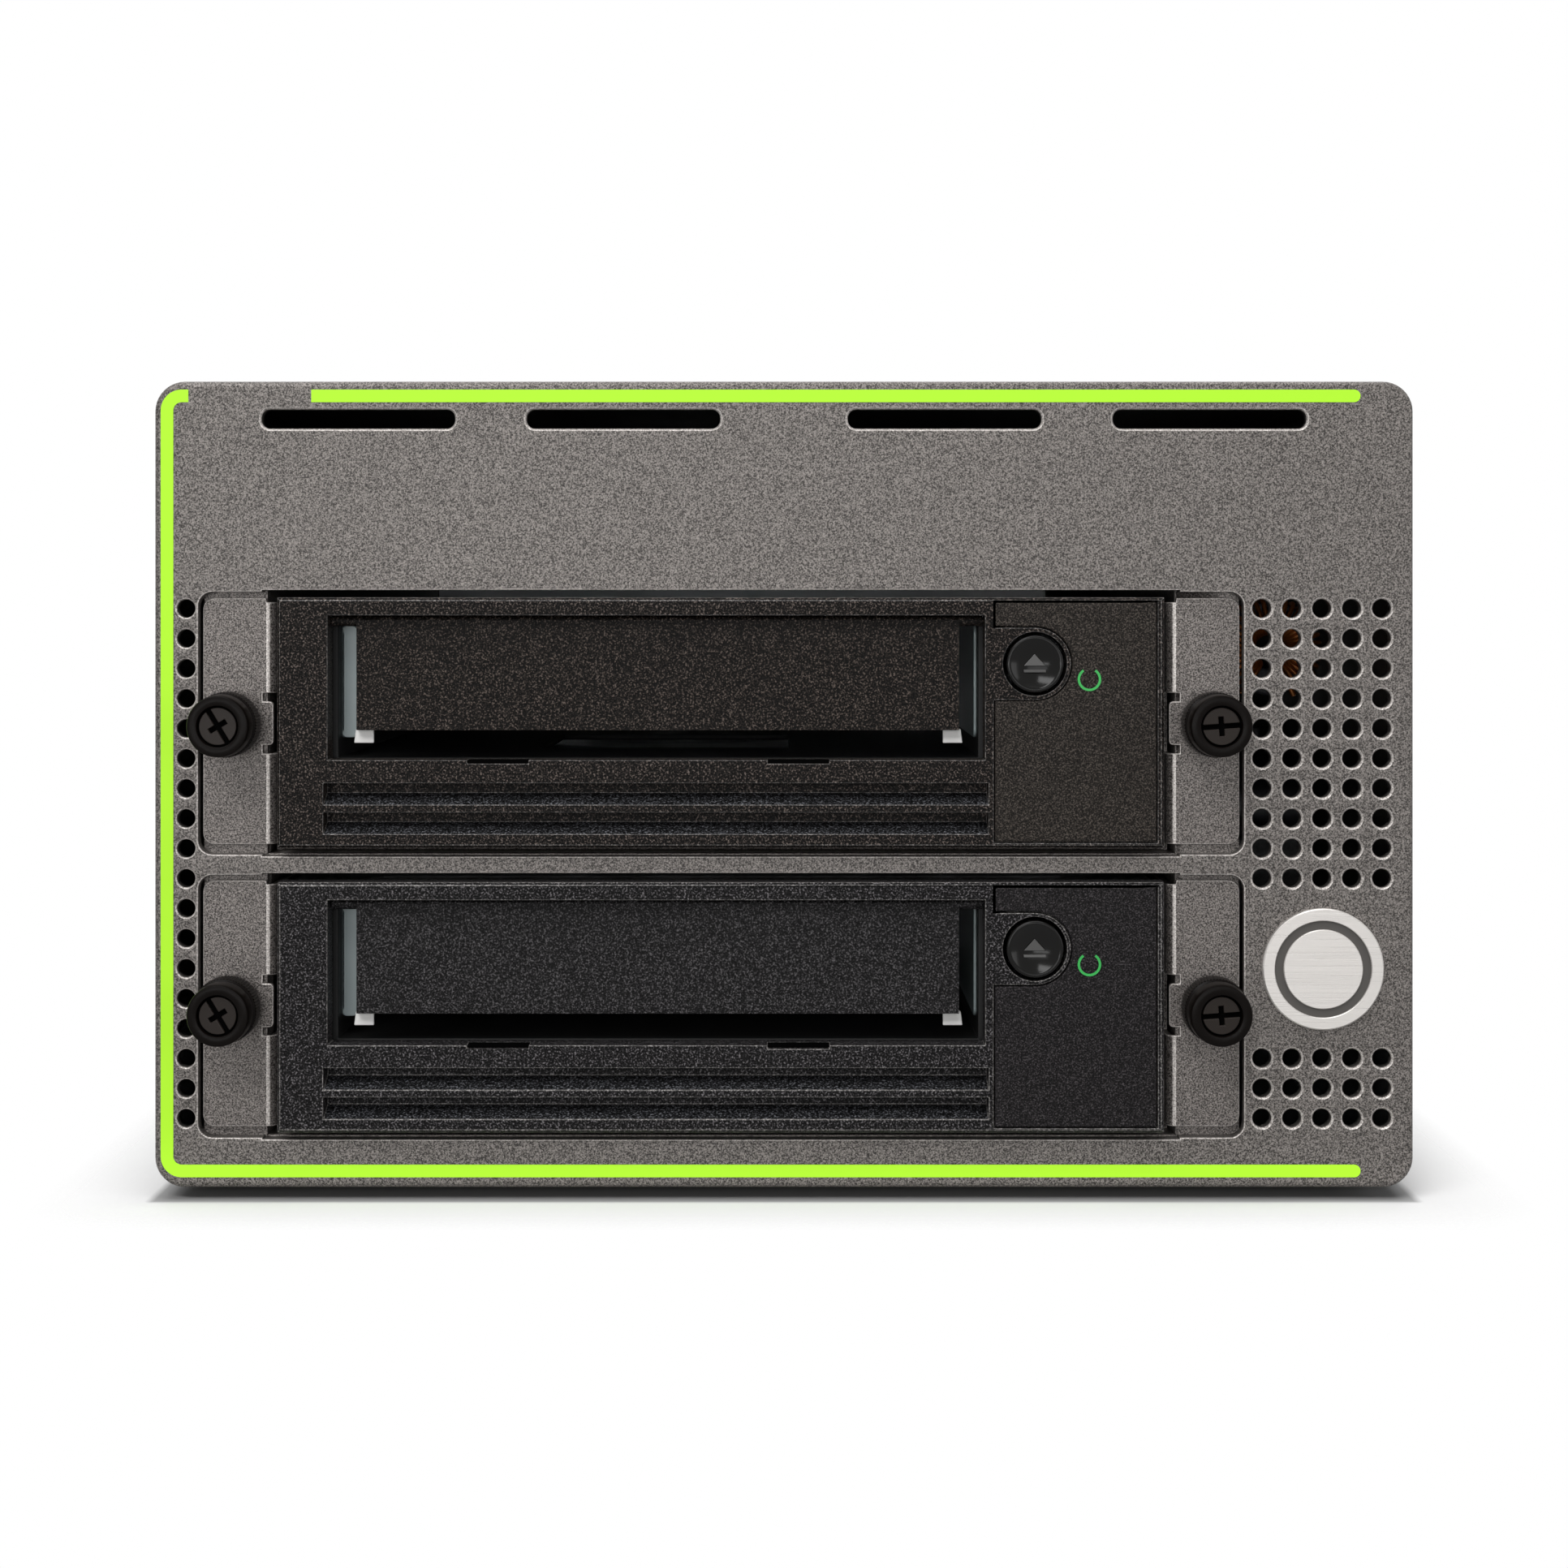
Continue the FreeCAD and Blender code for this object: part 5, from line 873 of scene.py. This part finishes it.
def makeRear():
    sizes = {"face": 314.0, "fanX": -22.0, "fanZ": 54.0, "fanHalf": 35.75, "inletX": 72.0, "inletZ": 28.25,
             "inletHalf": 19.7, "inletFace": 315.8,
             "rear": ((-98.5, 8.0), (98.5, 8.0), (-98.5, 127.0), (98.5, 127.0), (38.0, 127.0)),
             "cover": ((-1, 40.0), (-1, 285.0), (1, 40.0), (1, 285.0)), "coverX": 104.6, "coverZ": 12.0,
             "ports": (-30.5, 9.5), "tongueHalf": 9.0, "contacts": 8, "firstContact": -7.6,
             "contactPitch": 2.0, "contactWide": 1.1}
    back, side = Vector((0, 1, 0)), Vector((1, 0, 0))
    for k, (x, z) in enumerate(((-1, -1), (1, -1), (-1, 1), (1, 1))):
        place = panelPoint(sizes["fanX"] + x * sizes["fanHalf"], sizes["face"],
                           sizes["fanZ"] + z * sizes["fanHalf"])
        makeScrew(f"fan_screw_{k}", place, back, 3.2, 1.5)
    for k, (x, z) in enumerate(sizes["rear"]):
        makeScrew(f"rear_screw_{k}", panelPoint(x, sizes["face"], z), back, 2.6, 1.3)
    for k, x in enumerate((-1, 1)):
        place = panelPoint(sizes["inletX"] + x * sizes["inletHalf"], sizes["inletFace"], sizes["inletZ"])
        makeScrew(f"inlet_screw_{k}", place, back, 2.3, 0.5)
    for k, (x, y) in enumerate(sizes["cover"]):
        makeScrew(f"cover_screw_{k}", panelPoint(x * sizes["coverX"], y, sizes["coverZ"]), side * x, 3.4,
                  0.35)
    half = sizes["tongueHalf"]
    for k, x in enumerate(sizes["ports"]):
        addBlock(f"port_tongue_{k}", (x - half, 297.5, 113.3), (x + half, 312.0, 114.9), chipBlack, soft=0.2)
        for c in range(sizes["contacts"]):
            low = (x + sizes["firstContact"] + sizes["contactPitch"] * c, 299.0, 114.85)
            high = (low[0] + sizes["contactWide"], 311.6, 114.98)
            addBlock(f"port_contact_{k}_{c}", low, high, contactGold, soft=0.02)


makeRear()
print("rear made")


# Finishes of the pieces that come from the frame
def dressNode(name, material, width, rim=None):
    item = nodes[name]
    item.data.materials.clear()
    item.data.materials.append(material)
    item.data.polygons.foreach_set("use_smooth", [True] * len(item.data.polygons))
    weld = item.modifiers.new("Weld", "WELD")
    weld.merge_threshold = 0.000002
    flat = item.modifiers.new("Flat_faces", "DECIMATE")
    flat.decimate_type = "DISSOLVE"
    flat.angle_limit = math.radians(0.5)
    flat.delimit = {"NORMAL", "MATERIAL"}
    softenEdges(item, width, rim=rim)


# Gives the faces whose middle lies within a box, in metres, another material
def paintFaces(name, material, low, high):
    item = nodes[name]
    item.data.materials.append(material)
    index = len(item.data.materials) - 1
    for face in item.data.polygons:
        middle = item.matrix_world @ face.center
        if all(low[k] < middle[k] < high[k] for k in range(3)):
            face.material_index = index


casingFinishes = {
    "top_cover": (coverPaint, 0.3), "bottom_chassis": (chassisSteel, 0.25), "rubber_feet": (rubberBlack, 0.6),
    "rear_panel": (chassisSteel, 0.2), "drive_cage": (earPaint, 0.2), "clinch_nuts": (zincSteel, 0.2),
    "docking_sockets": (boardGreen, 0.2), "fan_frame": (plasticBlack, 0.4), "fan_rotor": (plasticBlack, 0.25),
    "mains_inlet": (plasticBlack, 0.3), "power_rocker": (plasticBlack, 0.3),
    "supply_board": (boardGreen, 0.1), "adapter_board": (boardGreen, 0.15), "rear_ports": (zincSteel, 0.15),
}
for name, (material, width) in casingFinishes.items():
    dressNode(name, material, width)
for bay, prefix in enumerate(drives):
    driveFinishes = {
        "bezel": (bezelPlastic[prefix], 0.24), "tape_door": (doorPlastic[prefix], 0.25),
        "drive_base": (castDeck, 0.3), "drive_lid": (zincSteel, 0.25), "loader_tray": (trayPaintedShade, 0.2),
        "supply_hub": (reelWhite, 0.3), "take_up_reel": (reelWhite, 0.3), "head_carriage": (castDeck, 0.3),
        "guide_rollers": (springSteel, 0.3), "logic_board": (boardGreen, 0.12),
        "washer_left": (springSteel, 0.08), "washer_right": (springSteel, 0.08),
    }
    for name, (material, width) in driveFinishes.items():
        # The bezels' bevelled edges take the lighter plastic as a painted highlight
        dressNode(f"{prefix}_{name}", material, width, edgeHighlightPlastic if name == "bezel" else None)
    # The louver slopes take the lighter plastic as painted light
    for low in (4.25, 9.1):
        paintFaces(f"{prefix}_bezel", louverLitPlastic, bayPoint(bay, -65, -2.2, low),
                   bayPoint(bay, 44, 0.5, low + 1.1))
    paintFaces(f"{prefix}_logic_board", chipBlack, bayPoint(bay, -60, 60, 3.6), bayPoint(bay, 60, 120, 8))
paintFaces("docking_sockets", plasticBlack, panelPoint(-200, 203, 0), panelPoint(200, 212, 200))
paintFaces("adapter_board", canSilver, panelPoint(-40, 200, 107), panelPoint(20, 262, 140))
paintFaces("mains_inlet", contactBrass, panelPoint(62, 299, 22), panelPoint(82, 310.5, 34))
print("finishes set")


# Floor, light and camera
def makeFloor():
    sizes = {"half": 3.0, "wide": 0.105, "deep": 0.159, "fade": 0.02, "contact": 0.0016, "dark": 0.42,
             "light": 0.93}
    mesh, half = bpy.data.meshes.new("Floor"), sizes["half"]
    mesh.from_pydata([(-half, -half, 0), (half, -half, 0), (half, half, 0), (-half, half, 0)], [],
                     [(0, 1, 2, 3)])
    floor = addItem("Floor", mesh)
    material = makeMaterial("Floor_white", (1, 1, 1), 0.9, gleam=0.0)
    tree = material.node_tree
    centre, edge = (0.0, panelLow.y + sizes["deep"], 0.0), (sizes["wide"], sizes["deep"], 0.0)
    place = addNode(tree, "ShaderNodeTexCoord")["Object"]
    centred = addNode(tree, "ShaderNodeVectorMath", place, centre, operation="SUBTRACT")["Vector"]
    mirrored = addNode(tree, "ShaderNodeVectorMath", centred, operation="ABSOLUTE")["Vector"]
    outside = addNode(tree, "ShaderNodeVectorMath", mirrored, edge, operation="SUBTRACT")["Vector"]
    clipped = addNode(tree, "ShaderNodeVectorMath", outside, operation="MAXIMUM")["Vector"]
    distance = addNode(tree, "ShaderNodeVectorMath", clipped, operation="LENGTH")["Value"]
    fade = addNode(tree, "ShaderNodeMapRange", Value=distance, From_Min=0.0, From_Max=sizes["fade"],
                   To_Min=1.0, To_Max=0.0)
    # The floor's colour darkens near the footprint: a painted contact shadow
    shade = addNode(tree, "ShaderNodeMapRange", Value=distance, From_Min=0.0, From_Max=sizes["contact"],
                    To_Min=sizes["dark"], To_Max=sizes["light"])
    shader, clear = tree.nodes["Principled BSDF"], addNode(tree, "ShaderNodeBsdfTransparent")
    setInputs(tree, shader, {"Base Color": shade["Result"]})
    mix = addNode(tree, "ShaderNodeMixShader", fade["Result"], clear[0], shader.outputs[0])
    setInputs(tree, tree.nodes["Material Output"], {"Surface": mix[0]})
    mesh.materials.append(material)


def makeWorld():
    world = bpy.data.worlds.new("Studio")
    bpy.context.scene.world = world
    world.use_nodes = True
    tree = world.node_tree
    tree.nodes.clear()
    path = addNode(tree, "ShaderNodeLightPath")
    seen = addNode(tree, "ShaderNodeBackground", Color=(1, 1, 1, 1), Strength=1.0)
    soft = addNode(tree, "ShaderNodeBackground", Color=(0.96, 0.98, 1.0, 1), Strength=0.07)
    glossy = addNode(tree, "ShaderNodeMath", path["Is Camera Ray"], path["Is Glossy Ray"],
                     operation="MAXIMUM")
    direct = addNode(tree, "ShaderNodeMath", glossy["Value"], path["Is Transmission Ray"],
                     operation="MAXIMUM")
    mix = addNode(tree, "ShaderNodeMixShader", direct["Value"], soft[0], seen[0])
    addNode(tree, "ShaderNodeOutputWorld", Surface=mix[0])


def addLight(name, place, aim, size, power):
    data = bpy.data.lights.new(name, "AREA")
    data.shape, data.size, data.size_y, data.energy = "RECTANGLE", *size, power
    light = addItem(name, data)
    light.location = place
    light.rotation_euler = (Vector(aim) - Vector(place)).to_track_quat("-Z", "Y").to_euler()


def makeCamera():
    view = {"distance": 0.430, "level": 0.1010, "width": 0.2614, "sensor": 36.0, "row": 966, "topRow": 470.7,
            "rowsPerMm": 7.376}
    data = bpy.data.cameras.new("Camera")
    data.sensor_width = view["sensor"]
    data.lens = view["sensor"] * view["distance"] / view["width"]
    middle = panelHigh.z - (view["row"] - view["topRow"]) / view["rowsPerMm"] * mm
    data.shift_y = (middle - view["level"]) / view["width"]
    camera = addItem("Camera", data)
    camera.location = (0, panelLow.y - view["distance"], view["level"])
    camera.rotation_euler = (pi / 2, 0, 0)
    bpy.context.scene.camera = camera


makeFloor()
makeWorld()
addLight("Key_top", (-0.40, -1.00, 0.86), (0, 0, 0.08), (0.8, 0.3), 7.3)
addLight("Front_low", (-0.20, -1.25, 0.06), (0, 0, 0.04), (0.8, 0.1), 2.0)
addLight("Front_soft", (0.0, -1.30, 0.30), (0, 0, 0.10), (1.1, 0.2), 2.0)
addLight("Overhead", (0.0, -0.50, 1.05), (0, -0.15, 0.08), (1.0, 0.4), 5.5)
addLight("Side_right", (0.85, -0.60, 0.30), (0, 0, 0.06), (0.3, 0.6), 1.5)
addLight("Top_back", (0, 0.25, 1.1), (0, 0, 0.1), (1.2, 0.8), 6)
makeCamera()
scene = bpy.context.scene
scene.view_settings.view_transform = "Standard"
scene.view_settings.look = "None"
print("stage made")
